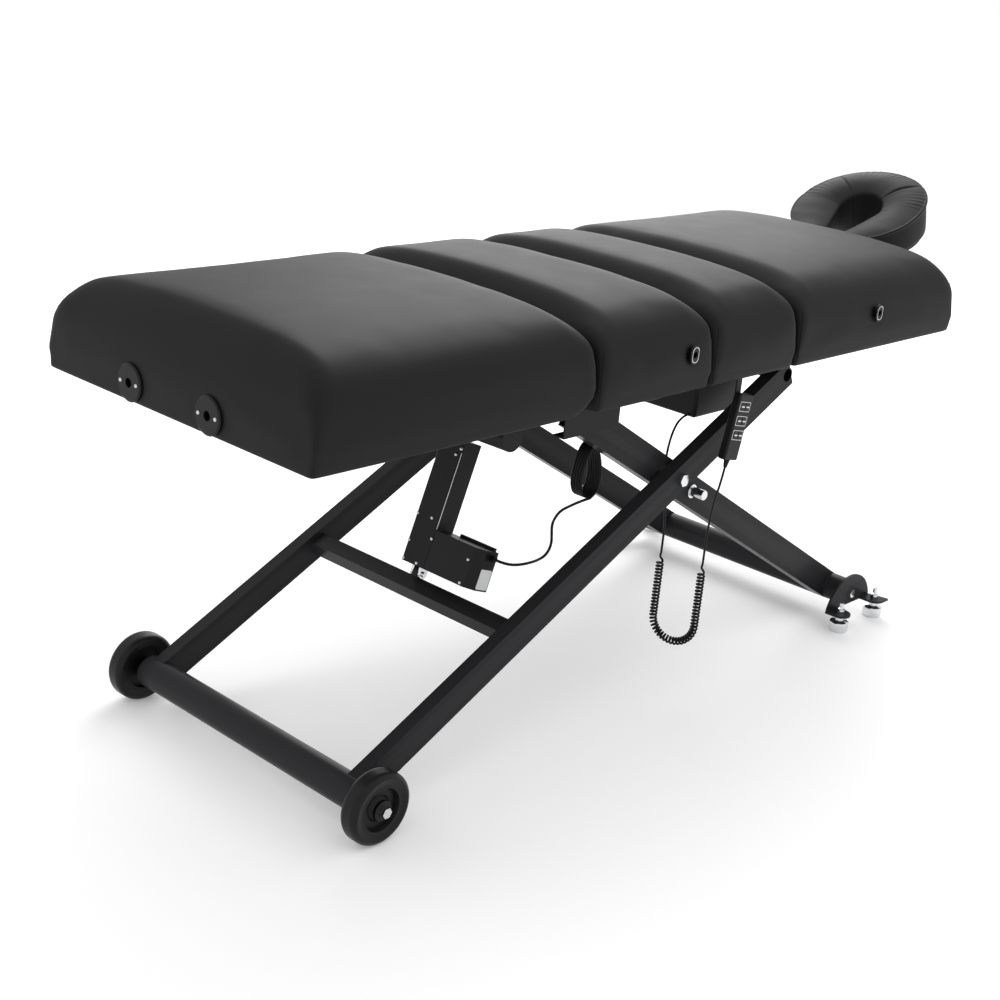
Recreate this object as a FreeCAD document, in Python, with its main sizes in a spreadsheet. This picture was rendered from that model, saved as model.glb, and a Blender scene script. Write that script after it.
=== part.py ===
# Electric-lift treatment table: four upholstered sections on a scissor base, with a face cradle.
# X runs along the table towards the head end, Y across it, Z up from the floor. Millimetres.
import FreeCAD
import Part
import Sketcher
import math
import os
from types import SimpleNamespace

Vector = FreeCAD.Vector
Rotation = FreeCAD.Rotation
Placement = FreeCAD.Placement

doc = FreeCAD.newDocument("treatment_table")
sheet = doc.addObject("Spreadsheet::Sheet", "Sizes")

# Driving dimensions. X values are measured from the middle of the upholstered top.
SIZES = (
    ("leg_length", 629, "leg section along the table"),
    ("seat_length", 327.5, "seat section along the table"),
    ("middle_length", 278, "middle section along the table"),
    ("back_length", 615.5, "back section along the table"),
    ("table_width", 690, "width of the top"),
    ("deck_rise", 39, "underside of the top above the upper pivots"),
    ("cushion_height", 154, "underside to the crown of the top"),
    ("crown_rise", 10, "rise of the crown above the rounded long edges"),
    ("side_round", 60, "rounding of the long top edges"),
    ("end_round", 60, "rounding of the top edge at both ends of the table"),
    ("gap_round", 36, "rounding of the top edges beside a gap"),
    ("lower_round", 55, "rounding under the leg section beside the seat"),
    ("section_gap", 7, "gap between two sections"),
    ("side_draw", 5, "how far the sides are drawn in at the bottom"),
    ("draw_height", 45, "height over which the sides are drawn in"),
    ("pivot_x", 61, "scissor pivot along the table"),
    ("pivot_height", 468, "scissor pivot above the floor"),
    ("axle_x", -738, "wheel axle along the table"),
    ("foot_x", 757, "foot pivot along the table"),
    ("wheel_radius", 65, "wheel, and so the height of both lower pivots"),
    ("wheel_width", 38, "wheel across the tread"),
    ("wheel_middle", 326, "middle plane of a wheel from the table's middle"),
    ("tyre_depth", 20, "tyre from tread to hub"),
    ("upper_rise", 162, "upper pivots of both frames above the scissor pivot"),
    ("outer_depth", 55, "outer side tube, tall side"),
    ("outer_width", 27, "outer side tube, across the table"),
    ("outer_face", 284, "outside face of an outer tube from the middle"),
    ("inner_depth", 61, "inner side tube, tall side"),
    ("inner_width", 30, "inner side tube, across the table"),
    ("inner_face", 248, "outside face of an inner tube from the middle"),
    ("tube_wall", 2.5, "wall of every tube"),
    ("cross_radius", 30, "round lower cross tubes"),
    ("cross_end", 297, "end of a lower cross tube from the middle"),
    ("upper_tube_radius", 16, "round upper cross tubes"),
    ("tube_overrun", 12, "side tube past its upper cross tube"),
    ("plug_length", 25, "plug in each end of a lower cross tube"),
    ("rail_depth", 32, "square mid rail of the outer frame"),
    ("rail_distance", 481, "mid rail from the scissor pivot"),
    ("bolt_radius", 8, "scissor pivot bolt"),
    ("bolt_head", 13, "scissor bolt head, middle to corner"),
    ("bolt_head_height", 9, "scissor bolt head"),
    ("washer_radius", 22, "washer between the two frames"),
    ("nut_radius", 10, "nuts of the axles and foot pivots, middle to corner"),
    ("foot_nut_height", 8, "nut of a foot pivot"),
    ("axle_nut_height", 10, "nut of a wheel axle"),
    ("axle_radius", 6, "wheel axle and foot pivot bolt"),
    ("running_gap", 0.05, "radial clearance of a running fit"),
    ("face_gap", 0.4, "clearance between faces that turn on each other"),
    ("seat_gap", 0.3, "clearance round a part that is let into another"),
    ("peg_distance", 103, "stop peg from the scissor pivot"),
    ("peg_radius", 10, "stop peg"),
    ("peg_length", 34, "stop peg"),
    ("roller_radius", 19, "slide roller of the inner frame"),
    ("roller_width", 22, "slide roller of the inner frame"),
    ("roller_stub", 30, "stub axle of a slide roller"),
    ("roller_gap", 1.5, "roller to channel, above and below"),
    ("channel_length", 150, "roller channel"),
    ("sheet_thickness", 3, "folded steel of channels and straps"),
    ("plate_thickness", 6, "lugs, ears and forks"),
    ("bar_height", 18, "top frame bars"),
    ("bar_width", 40, "top frame rails"),
    ("rail_overhang", 18, "top frame rails past the leg joint"),
    ("rail_tail", 60, "top frame rails past the outer frame's top"),
    ("lug_foot", 80, "top pivot lug along its rail"),
    ("tie_width", 24, "cross ties and channel arms along the table"),
    ("tie_behind", 105, "third cross tie, towards the feet from the back joint"),
    ("rail_inside", 150, "inner edge of a top frame rail from the middle"),
    ("hinge_pin_radius", 4, "section hinge pin"),
    ("hinge_rise", 11, "section hinge above the start of the gap rounding"),
    ("ear_radius", 9, "rounded end of a hinge ear"),
    ("ear_reach", 110, "slot for the hinge ears, from the joint"),
    ("ear_start", 30, "foot of a fixed hinge ear from the joint"),
    ("ear_foot", 38, "foot of a fixed hinge ear along its rail"),
    ("foot_plate_width", 173, "half-moon foot plate along the table"),
    ("foot_plate_rise", 70, "half-moon foot plate, height"),
    ("foot_plate_bottom", 38, "underside of the half-moon plate"),
    ("foot_step", 8, "upright edge at each end of the half-moon plate"),
    ("foot_thickness", 5, "foot plate and its tabs"),
    ("glide_spacing", 145, "two glides of one foot"),
    ("glide_reach", 25, "glide centre outside the foot plate"),
    ("glide_radius", 22, "levelling glide"),
    ("glide_height", 24, "levelling glide, base to top of its rim"),
    ("stud_radius", 5, "glide stud"),
    ("stud_rise", 24, "glide stud above its tab"),
    ("collar_radius", 9, "glide collar and wing nut hub"),
    ("lift_offset", -18, "lift actuator from the table's middle"),
    ("lift_pin_ahead", 4.5, "lower pin of the lift actuator, towards the head from the mid rail"),
    ("lift_pin_rise", 32.6, "lower pin of the lift actuator above the mid rail"),
    ("lift_eye_behind", 31.2, "upper pin of the lift actuator, towards the feet from the inner frame's top"),
    ("lift_eye_drop", 30, "upper pin of the lift actuator below the inner frame's top"),
    ("column_width", 60, "lift column across the table"),
    ("column_thickness", 50, "lift column along the table"),
    ("column_start", 14, "lift column from its lower pin"),
    ("column_end", 262, "lift column from its lower pin"),
    ("motor_height", 76, "lift motor housing"),
    ("motor_reach", 117, "lift motor housing past the column"),
    ("motor_bevel", 16, "bevel at the end of the lift motor housing"),
    ("motor_ridge", 6, "ridge on the lift motor housing"),
    ("column_round", 4, "rounded uprights of the lift column"),
    ("column_floor", 12.5, "solid foot of the lift column under its bore"),
    ("gland_radius", 6, "cable gland of the lift motor"),
    ("gland_length", 8, "cable gland of the lift motor"),
    ("gland_inset", 14, "cable gland from the back of the motor housing"),
    ("gland_drop", 12, "cable gland below the top of the motor housing"),
    ("rod_radius", 11, "actuator rods"),
    ("pin_radius", 5, "actuator pins"),
    ("eye_radius", 12, "actuator rod eyes"),
    ("eye_width", 12, "actuator rod eyes"),
    ("neck_length", 36, "flattened end of an actuator rod, from its pin"),
    ("open_pin_gap", 4, "clearance of the pin that closes the lift linkage"),
    ("leg_hole_x", 0.85, "leg bracket's wide hole from the rod's pin"),
    ("leg_hole_z", -1.9, "leg bracket's wide hole from the rod's pin"),
    ("leg_hole_gap", 2.8, "clearance of the rod's pin in the leg bracket"),
    ("back_hole_x", -0.8, "back bracket's wide hole from the rod's pin"),
    ("back_hole_z", 5.2, "back bracket's wide hole from the rod's pin"),
    ("back_hole_gap", 5.6, "clearance of the rod's pin in the back bracket"),
    ("shoe_length", 60, "shoes under the sections, along and across the table"),
    ("shoe_thickness", 4, "shoes under the sections"),
    ("shoe_width", 40, "hinge shoe, past its ear"),
    ("shoe_start", 60, "hinge shoe from the joint"),
    ("housing_radius", 25, "leg and back actuator housings"),
    ("gear_motor_radius", 27, "leg and back actuator motors"),
    ("gear_motor_inset", 4, "leg and back actuator motors from the housing's end"),
    ("gear_motor_length", 84, "leg and back actuator motors"),
    ("leg_offset", -100, "leg actuator from the table's middle"),
    ("back_offset", 100, "back actuator from the table's middle"),
    ("leg_pin_ahead", 13, "leg actuator's pin on the top frame, from the leg joint"),
    ("leg_eye_behind", 294, "leg actuator's pin on the leg section, from the leg joint"),
    ("back_pin_behind", 309.5, "back actuator's pin on the top frame, from the back joint"),
    ("back_eye_ahead", 30.5, "back actuator's pin on the back section, from the back joint"),
    ("leg_pin_drop", 77, "leg actuator's pin on the top frame, below the underside of the top"),
    ("back_pin_drop", 149, "back actuator's pin on the top frame, below the underside of the top"),
    ("drive_eye_drop", 34, "pins of both on the sections, below their underside"),
    ("drive_tail", 26, "flat tail of an actuator, past its eye"),
    ("rod_inset", 60, "start of a rod inside its housing"),
    ("lift_rod_inset", 72, "start of the lift rod inside its column"),
    ("leg_housing", 205, "leg actuator housing from its pin"),
    ("back_housing", 235, "back actuator housing from its pin"),
    ("socket_spacing", 203, "pair of end sockets, 8 inches"),
    ("socket_rise", 35, "end sockets above the underside of the top"),
    ("socket_bore", 8, "end socket bore radius"),
    ("socket_flange", 32, "end socket disc radius"),
    ("socket_depth", 70, "foot-end socket sleeve"),
    ("cradle_depth", 140, "head-end socket sleeve"),
    ("flange_thickness", 6, "end socket disc"),
    ("sleeve_wall", 4, "wall of every socket sleeve"),
    ("side_bore", 6, "side socket bore radius"),
    ("side_plate_width", 26, "side socket plate along the table"),
    ("side_plate_height", 36, "side socket plate"),
    ("side_plate_thickness", 4, "side socket plate"),
    ("side_depth", 55, "side socket sleeve"),
    ("seat_socket_x", -39, "seat side socket"),
    ("seat_socket_rise", 74, "seat side socket above the underside of the top"),
    ("back_socket_x", 594, "back side socket"),
    ("back_socket_rise", 81, "back side socket above the underside of the top"),
    ("box_length", 150, "control box along the table"),
    ("box_width", 170, "control box across the table"),
    ("box_height", 100, "control box"),
    ("box_round", 6, "rounded edges of the control box"),
    ("box_x", 180, "control box, end nearest the feet"),
    ("box_edge", -212, "control box, near side"),
    ("handset_x", 128, "handset, bottom of its front"),
    ("handset_drop", 157, "handset, bottom of its front below the underside of the top"),
    ("hook_reach", 95, "lower end of the handset's hook above the handset's bottom"),
    ("hook_width", 16, "handset hook"),
    ("hook_flange", 40, "top of the handset hook, across the table"),
    ("handset_width", 45, "handset"),
    ("handset_length", 130, "handset"),
    ("handset_depth", 18, "handset"),
    ("handset_round", 4, "rounded edges of the handset"),
    ("handset_lean", 12, "lean of the hanging handset, degrees"),
    ("button_width", 13, "handset button"),
    ("button_height", 16, "handset button"),
    ("button_rise", 1.6, "button above the handset's face"),
    ("button_pocket", 4, "depth of a button's pocket"),
    ("button_depth", 4.2, "button, front to back"),
    ("button_pitch_x", 16, "two button columns"),
    ("button_pitch_z", 28, "three button rows"),
    ("button_first", 50, "lowest button row above the handset's bottom"),
    ("cord_radius", 2.3, "handset cord"),
    ("relief_length", 16, "handset strain relief"),
    ("curl_radius", 6.4, "middle of the cord's curls"),
    ("curl_count", 52, "full curls of the handset cord"),
    ("curl_ease", 18, "how far each end curl is drawn out"),
    ("loop_x", 128, "hanging loop of curls, side of the box"),
    ("loop_y", -212, "hanging loop of curls, side of the box"),
    ("loop_width_x", 20, "hanging loop of curls along the table"),
    ("loop_width_y", 89, "hanging loop of curls across the table"),
    ("loop_top", 282, "hanging loop of curls, both ends"),
    ("loop_bottom", 98, "hanging loop of curls, lowest point of its middle line"),
    ("cable_radius", 2.6, "actuator cables"),
    ("hank_loops", 5, "loops of spare cable"),
    ("hank_x", -122, "hank along the table"),
    ("hank_y", -212, "first loop of the hank"),
    ("hank_z", 496, "middle of the hank above the floor"),
    ("hank_width", 50, "hank along the table"),
    ("hank_height", 104, "hank"),
    ("hank_pitch", 5.8, "two loops of the hank, across the table"),
    ("hank_taper", 0.3, "how much narrower the loops are at the top"),
    ("cradle_ahead", 35, "cradle tilt pin past the head end"),
    ("cradle_rise", 56, "cradle tilt pin above the end sockets"),
    ("cradle_tilt", 18, "slope of the cradle, degrees"),
    ("pad_reach", 118, "cradle pad centre from the tilt pin"),
    ("pad_radius", 152, "cradle pad, outside"),
    ("pad_hole", 48, "cradle pad, opening"),
    ("pad_height", 68, "cradle pad"),
    ("pad_opening", 64, "opening of the cradle pad, degrees"),
    ("cradle_board", 9, "cradle platform"),
    ("cradle_bar", 24, "square cross bar of the cradle"),
    ("cradle_bar_ahead", 50, "cross bar past the head end"),
    ("cradle_bar_end", 20, "cross bar past each peg"),
    ("cradle_arm", 40, "cradle arm from the middle"),
)
for row, (alias, value, note) in enumerate(SIZES, start=1):
    sheet.set(f"A{row}", note)
    sheet.set(f"B{row}", str(value))
    sheet.setAlias(f"B{row}", alias)
doc.recompute()
s = SimpleNamespace(**{alias: float(sheet.get(alias)) for alias, value, note in SIZES})

# Section joints, counted from the foot end.
table_length = s.leg_length + s.seat_length + s.middle_length + s.back_length
foot_end = -table_length / 2
leg_joint = foot_end + s.leg_length
seat_joint = leg_joint + s.seat_length
back_joint = seat_joint + s.middle_length
head_end = table_length / 2
upper_height = s.pivot_height + s.upper_rise
cushion_bottom = upper_height + s.deck_rise
cushion_top = cushion_bottom + s.cushion_height
socket_height = cushion_bottom + s.socket_rise
hinge_height = cushion_top - s.gap_round + s.hinge_rise

# Scissor: both lower pivots are as high as the axle, so the top stays level.
pivot = Vector(s.pivot_x, 0, s.pivot_height)
axle = Vector(s.axle_x, 0, s.wheel_radius)
foot = Vector(s.foot_x, 0, s.wheel_radius)
outer_way = (pivot - axle).normalize()
inner_way = (pivot - foot).normalize()
outer_top = pivot + outer_way * (s.upper_rise / outer_way.z)
inner_top = pivot + inner_way * (s.upper_rise / inner_way.z)
mid_rail_centre = pivot - outer_way * s.rail_distance
stop_peg_centre = pivot - inner_way * s.peg_distance

# Actuator pins, in the table's middle plane.
lift_pin = mid_rail_centre + Vector(s.lift_pin_ahead, 0, s.lift_pin_rise)
lift_eye = inner_top - Vector(s.lift_eye_behind, 0, s.lift_eye_drop)
lift_way = (lift_eye - lift_pin).normalize()
leg_pin = Vector(leg_joint + s.leg_pin_ahead, 0, cushion_bottom - s.leg_pin_drop)
leg_eye = Vector(leg_joint - s.leg_eye_behind, 0, cushion_bottom - s.drive_eye_drop)
back_pin = Vector(back_joint - s.back_pin_behind, 0, cushion_bottom - s.back_pin_drop)
back_eye = Vector(back_joint + s.back_eye_ahead, 0, cushion_bottom - s.drive_eye_drop)
cradle_pin = Vector(head_end + s.cradle_ahead, 0, socket_height + s.cradle_rise)

SIDES = (("near", -1), ("far", 1))
TO_Y = Rotation(Vector(1, 0, 0), -90)
TO_X = Rotation(Vector(0, 1, 0), 90)
FROM_SIDE = Rotation(Vector(1, 0, 0), 90)
FROM_END = Rotation(Vector(0, 1, 0), Vector(0, 0, 1), Vector(1, 0, 0), "ZXY")
nodes = {}


def node(label, feature):
    """Name a finished sub-part."""
    feature.Label = label
    nodes[label] = feature
    return feature


def bind(feature, prop, value):
    """Set a property to a number, or bind it to the sheet."""
    if isinstance(value, str):
        feature.setExpression(prop, value)
    else:
        setattr(feature, prop, value)


def at(x, y, z, rotation=Rotation()):
    return Placement(Vector(x, y, z), rotation)


def slope(way):
    """Rotation that takes Z along a direction in the XZ plane and keeps Y."""
    return Rotation(Vector(way.z, 0, -way.x), Vector(0, 1, 0), way, "ZXY")


def line(a, b):
    return Part.LineSegment(Vector(a[0], a[1], 0), Vector(b[0], b[1], 0))


def arc(a, middle, b):
    return Part.Arc(Vector(a[0], a[1], 0), Vector(middle[0], middle[1], 0), Vector(b[0], b[1], 0))


def round_corner(centre, radius, start, end):
    """Arc about a centre between two directions in degrees."""
    turn = [math.radians(start + (end - start) * share) for share in (0, 0.5, 1)]
    points = [(centre[0] + radius * math.cos(a), centre[1] + radius * math.sin(a)) for a in turn]
    return arc(*points)


def polygon(points):
    return [line(a, b) for a, b in zip(points, points[1:] + points[:1])]


def box(length, width, height, placement):
    feature = doc.addObject("Part::Box", "Box")
    bind(feature, "Length", length)
    bind(feature, "Width", width)
    bind(feature, "Height", height)
    feature.Placement = placement
    return feature


def cylinder(radius, height, placement):
    feature = doc.addObject("Part::Cylinder", "Cylinder")
    bind(feature, "Radius", radius)
    bind(feature, "Height", height)
    feature.Placement = placement
    return feature


def pin_across(radius, centre, start, end):
    """Round bar along Y between two Y values."""
    return cylinder(radius, end - start, at(centre.x, start, centre.z, TO_Y))


def fuse(*shapes):
    feature = doc.addObject("Part::MultiFuse", "Fusion")
    feature.Shapes = list(shapes)
    return feature


def group(*shapes):
    feature = doc.addObject("Part::Compound", "Group")
    feature.Links = list(shapes)
    return feature


def cut(base, *tools):
    feature = doc.addObject("Part::Cut", "Cut")
    feature.Base = base
    feature.Tool = tools[0] if len(tools) == 1 else group(*tools)
    return feature


def body_sketch(role="XY_Plane"):
    body = doc.addObject("PartDesign::Body", "Body")
    sketch = body.newObject("Sketcher::SketchObject", "Sketch")
    plane = next(f for f in body.Origin.OriginFeatures if f.Role == role)
    sketch.AttachmentSupport = [(plane, "")]
    sketch.MapMode = "FlatFace"
    return body, sketch


def rectangle(sketch, name, width, height):
    """Rectangle centred on the sketch's origin, its two sizes bound to the sheet."""
    first = sketch.GeometryCount
    half = 5.0 + first
    corners = [(-half, -half), (half, -half), (half, half), (-half, half)]
    sketch.addGeometry(polygon(corners))
    for index in range(4):
        follower = first + (index + 1) % 4
        sketch.addConstraint(Sketcher.Constraint("Coincident", first + index, 2, follower, 1))
        kind = "Horizontal" if index % 2 == 0 else "Vertical"
        sketch.addConstraint(Sketcher.Constraint(kind, first + index))
    sketch.addConstraint(Sketcher.Constraint("Symmetric", first, 1, first + 1, 2, -1, 1))
    for kind, edge, size in (("DistanceX", first, width), ("DistanceY", first + 1, height)):
        index = sketch.addConstraint(Sketcher.Constraint(kind, edge, 1, edge, 2, 2 * half))
        sketch.renameConstraint(index, f"{name}{kind}")
        sketch.setExpression(f"Constraints.{name}{kind}", size)


def pad(body, sketch, length):
    feature = body.newObject("PartDesign::Pad", "Pad")
    feature.Profile = sketch
    bind(feature, "Length", length)
    return body


def square_tube(depth, width, length, placement):
    """Hollow rectangular tube along its own Z, sizes as sheet names."""
    body, sketch = body_sketch()
    rectangle(sketch, "outside", depth, width)
    rectangle(sketch, "inside", f"{depth} - 2 * Sizes.tube_wall", f"{width} - 2 * Sizes.tube_wall")
    pad(body, sketch, length)
    body.Placement = placement
    return body


def round_tube(radius, wall, centre, low, high):
    """Hollow round tube along Y between two ends."""
    body, sketch = body_sketch()
    for index, size in enumerate((radius, f"{radius} - {wall}")):
        sketch.addGeometry(Part.Circle(Vector(), Vector(0, 0, 1), 10 + index))
        sketch.addConstraint(Sketcher.Constraint("Coincident", index, 3, -1, 1))
        place = sketch.addConstraint(Sketcher.Constraint("Radius", index, 10 + index))
        sketch.renameConstraint(place, f"radius{index}")
        sketch.setExpression(f"Constraints.radius{index}", size)
    pad(body, sketch, high - low)
    body.Placement = at(centre.x, low, centre.z, TO_Y)
    return body


def plate(edges, thickness, placement):
    """Flat plate of an outline, padded along its own Z."""
    body, sketch = body_sketch()
    sketch.addGeometry(edges)
    pad(body, sketch, thickness)
    body.Placement = placement
    return body


def fillet(base, radius, chosen):
    """Rounding of the edges that a test picks."""
    feature = doc.addObject("Part::Fillet", "Fillet")
    feature.Base = base
    doc.recompute()
    edges = [index for index, edge in enumerate(base.Shape.Edges, start=1) if chosen(edge)]
    feature.Edges = [(index, radius, radius) for index in edges]
    return feature


def outward(centre, y, hand):
    """Placement whose Z runs along Y, away from the table's middle."""
    return at(centre.x, hand * y, centre.z, Rotation(Vector(1, 0, 0), -90 * hand))


def side_plate(edges, thickness, low_y, holes=()):
    """Plate in the XZ plane whose outline holds X and Z, from low_y towards +Y."""
    size = getattr(s, thickness.split(".")[1]) if isinstance(thickness, str) else thickness
    base = plate(edges, thickness, at(0, low_y + size, 0, FROM_SIDE))
    if not holes:
        return base
    drills = [pin_across(radius, centre, low_y - 1, low_y + size + 1) for radius, centre in holes]
    return cut(base, *drills)


def turned(edges, placement):
    """Solid of revolution about its own Z from a closed half outline of radius and height."""
    body, sketch = body_sketch("XZ_Plane")
    sketch.addGeometry(edges)
    feature = body.newObject("PartDesign::Revolution", "Revolution")
    feature.Profile = sketch
    feature.ReferenceAxis = (sketch, ["V_Axis"])
    feature.Angle = 360
    body.Placement = placement
    return body


def strap_outline(eye, radius, foot_a, foot_b):
    """Outline from a rounded eye to a straight foot, edges tangent to the eye."""
    points = []
    for foot_point, hand in ((foot_a, 1), (foot_b, -1)):
        span = Vector(foot_point[0] - eye.x, foot_point[1] - eye.z, 0)
        turn = math.atan2(span.y, span.x) + hand * math.acos(radius / span.Length)
        points.append((eye.x + radius * math.cos(turn), eye.z + radius * math.sin(turn)))
    feet = Vector((foot_a[0] + foot_b[0]) / 2 - eye.x, (foot_a[1] + foot_b[1]) / 2 - eye.z, 0)
    away = feet.normalize() * -radius
    tip = (eye.x + away.x, eye.z + away.y)
    first, last = points
    return [arc(first, tip, last), line(last, foot_b), line(foot_b, foot_a), line(foot_a, first)]


# Upholstered sections


def cushion_profile():
    """End view of a section: flat bottom, drawn-in sides, rounded edges and a crown."""
    half = s.table_width / 2
    edge_x = half - s.side_round
    edge_z = cushion_top - s.crown_rise - s.side_round
    rise = cushion_top - edge_z
    crown = (edge_x ** 2 + rise ** 2 - s.side_round ** 2) / (2 * (rise - s.side_round))
    lean = math.atan2(edge_x, edge_z - cushion_top + crown)
    touch = (crown * math.sin(lean), cushion_top - crown + crown * math.cos(lean))
    foot_point = (half - s.side_draw, cushion_bottom)
    knee = (half, cushion_bottom + s.draw_height)
    shoulder = (half, edge_z)
    corner = round_corner((edge_x, edge_z), s.side_round, 0, 90 - math.degrees(lean))
    mirror_corner = round_corner((-edge_x, edge_z), s.side_round, 90 + math.degrees(lean), 180)

    def other(point):
        return (-point[0], point[1])

    return [
        line(other(foot_point), foot_point), line(foot_point, knee), line(knee, shoulder), corner,
        arc(touch, (0, cushion_top), other(touch)), mirror_corner,
        line(other(shoulder), other(knee)), line(other(knee), other(foot_point)),
    ]


def cushion_side(start, end, start_round, end_round, low_round):
    """Side view of a section, its top edges rounded and one lower corner rounded if asked."""
    low, high = cushion_bottom, cushion_top
    edges = [
        line((start, low), (start, high - start_round)),
        round_corner((start + start_round, high - start_round), start_round, 180, 90),
        line((start + start_round, high), (end - end_round, high)),
        round_corner((end - end_round, high - end_round), end_round, 90, 0),
    ]
    if low_round:
        return edges + [
            line((end, high - end_round), (end, low + low_round)),
            round_corner((end - low_round, low + low_round), low_round, 0, -90),
            line((end - low_round, low), (start, low)),
        ]
    return edges + [line((end, high - end_round), (end, low)), line((end, low), (start, low))]


def cushion(label, start, end, start_round, end_round, low_round, tools):
    """Section where its end view and its side view meet, less what is let into it."""
    lengthwise = plate(cushion_profile(), end - start, at(start, 0, 0, FROM_END))
    outline = cushion_side(start, end, start_round, end_round, low_round)
    across = plate(outline, "Sizes.table_width", at(0, s.table_width / 2, 0, FROM_SIDE))
    common = doc.addObject("Part::Common", "Common")
    common.Base = lengthwise
    common.Tool = across
    node(label, cut(common, *tools))


def sleeve_hole(radius, depth, placement):
    return cylinder(radius + s.sleeve_wall + s.seat_gap, depth + s.seat_gap, placement)


def ear_slots(joint, hand, reach):
    """Slots for the hinge ears, cut from a section's end; hand gives the side of the joint."""
    width = 2 * s.plate_thickness + s.face_gap + 2 * s.plate_thickness / 2
    height = hinge_height + s.ear_radius + s.face_gap - cushion_bottom
    low_x = joint if hand > 0 else joint - reach
    shift = s.rail_inside - width + s.plate_thickness / 2
    return [box(reach, width, height, at(low_x, y, cushion_bottom))
            for y in (shift, -shift - width)]


half_gap = s.section_gap / 2
half_spacing = s.socket_spacing / 2
seat_socket_height = cushion_bottom + s.seat_socket_rise
back_socket_height = cushion_bottom + s.back_socket_rise
end_holes = [
    sleeve_hole(s.socket_bore, s.socket_depth, at(foot_end, y, socket_height, TO_X))
    for y in (-half_spacing, half_spacing)
]
cradle_holes = [
    sleeve_hole(s.socket_bore, s.cradle_depth,
                at(head_end - s.cradle_depth - s.seat_gap, y, socket_height, TO_X))
    for y in (-half_spacing, half_spacing)
]


def side_holes(x, height):
    inner = s.table_width / 2 - s.side_depth - s.seat_gap
    return [sleeve_hole(s.side_bore, s.side_depth, at(x, y, height, TO_Y))
            for y in (inner, -s.table_width / 2)]


cushion("leg_cushion", foot_end, leg_joint - half_gap, s.end_round, s.gap_round, s.lower_round,
        end_holes + ear_slots(leg_joint, -1, s.ear_reach))
cushion("seat_cushion", leg_joint + half_gap, seat_joint - half_gap, s.gap_round, s.gap_round, 0,
        side_holes(s.seat_socket_x, seat_socket_height) + ear_slots(leg_joint, 1, s.ear_reach))
cushion("middle_cushion", seat_joint + half_gap, back_joint - half_gap, s.gap_round, s.gap_round, 0,
        ear_slots(back_joint, -1, s.ear_reach))
cushion("back_cushion", back_joint + half_gap, head_end, s.gap_round, s.end_round, 0,
        side_holes(s.back_socket_x, back_socket_height) + cradle_holes
        + ear_slots(back_joint, 1, s.ear_reach))

# Sockets let into the sections


def end_socket(face_x, y, hand, depth, bore):
    """Round disc with a sleeve behind it; hand is the way the disc faces along X."""
    wall = bore + s.sleeve_wall
    inside = -depth
    outline = polygon([(bore, inside), (wall, inside), (wall, 0), (s.socket_flange, 0),
                       (s.socket_flange, s.flange_thickness - 2), (s.socket_flange - 3, s.flange_thickness),
                       (bore, s.flange_thickness)])
    return turned(outline, at(face_x, y, socket_height, Rotation(Vector(0, 1, 0), 90 * hand)))


def side_socket(x, height, hand):
    """Upright plate with rounded ends and a sleeve behind it, on one long side."""
    half_w = s.side_plate_width / 2
    straight = s.side_plate_height / 2 - half_w
    outline = [
        line((x + half_w, height - straight), (x + half_w, height + straight)),
        round_corner((x, height + straight), half_w, 0, 180),
        line((x - half_w, height + straight), (x - half_w, height - straight)),
        round_corner((x, height - straight), half_w, 180, 360),
    ]
    face = hand * s.table_width / 2
    low = face if hand > 0 else face - s.side_plate_thickness
    flange = side_plate(outline, "Sizes.side_plate_thickness", low)
    inner = face - s.side_depth if hand > 0 else face
    centre = Vector(x, 0, height)
    sleeve = pin_across(s.side_bore + s.sleeve_wall, centre, inner, inner + s.side_depth)
    reach = s.side_depth + s.side_plate_thickness
    drill_low = face - s.side_depth - 1 if hand > 0 else face - s.side_plate_thickness - 1
    drill = pin_across("Sizes.side_bore", centre, drill_low, drill_low + reach + 2)
    return cut(fuse(flange, sleeve), drill)


node("foot_sockets", group(*[end_socket(foot_end, y, -1, s.socket_depth, s.socket_bore)
                             for y in (-half_spacing, half_spacing)]))
node("cradle_sockets", group(*[end_socket(head_end, y, 1, s.cradle_depth, s.socket_bore)
                               for y in (-half_spacing, half_spacing)]))
node("seat_sockets", group(*[side_socket(s.seat_socket_x, seat_socket_height, hand) for name, hand in SIDES]))
node("back_sockets", group(*[side_socket(s.back_socket_x, back_socket_height, hand) for name, hand in SIDES]))

# Scissor frames


def side_tube(label, way, low, top, depth, width, face, hand, holes):
    """Side tube of a scissor frame, coped on its lower cross tube and drilled."""
    across = getattr(s, width)
    middle = hand * (face - across / 2)
    length = (top - low).Length + s.tube_overrun
    tube = square_tube(f"Sizes.{depth}", f"Sizes.{width}", length, at(low.x, middle, low.z, slope(way)))
    cope = pin_across(s.cross_radius + s.running_gap, low, middle - across, middle + across)
    drills = [pin_across(radius, centre, middle - across, middle + across) for radius, centre in holes]
    node(label, cut(tube, cope, *drills))


bolt_drill = (s.bolt_radius + s.running_gap, pivot)
tube_drill = s.upper_tube_radius + s.running_gap
for name, hand in SIDES:
    side_tube(f"outer_tube_{name}", outer_way, axle, outer_top, "outer_depth", "outer_width",
              s.outer_face, hand, [bolt_drill, (tube_drill, outer_top)])
    side_tube(f"inner_tube_{name}", inner_way, foot, inner_top, "inner_depth", "inner_width",
              s.inner_face, hand, [bolt_drill, (tube_drill, inner_top)])

outer_inside = s.outer_face - s.outer_width
inner_inside = s.inner_face - s.inner_width
node("wheel_cross_tube", round_tube("Sizes.cross_radius", "Sizes.tube_wall", axle, -s.cross_end, s.cross_end))
node("lower_cross_tube", round_tube("Sizes.cross_radius", "Sizes.tube_wall", foot, -s.cross_end, s.cross_end))


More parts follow.
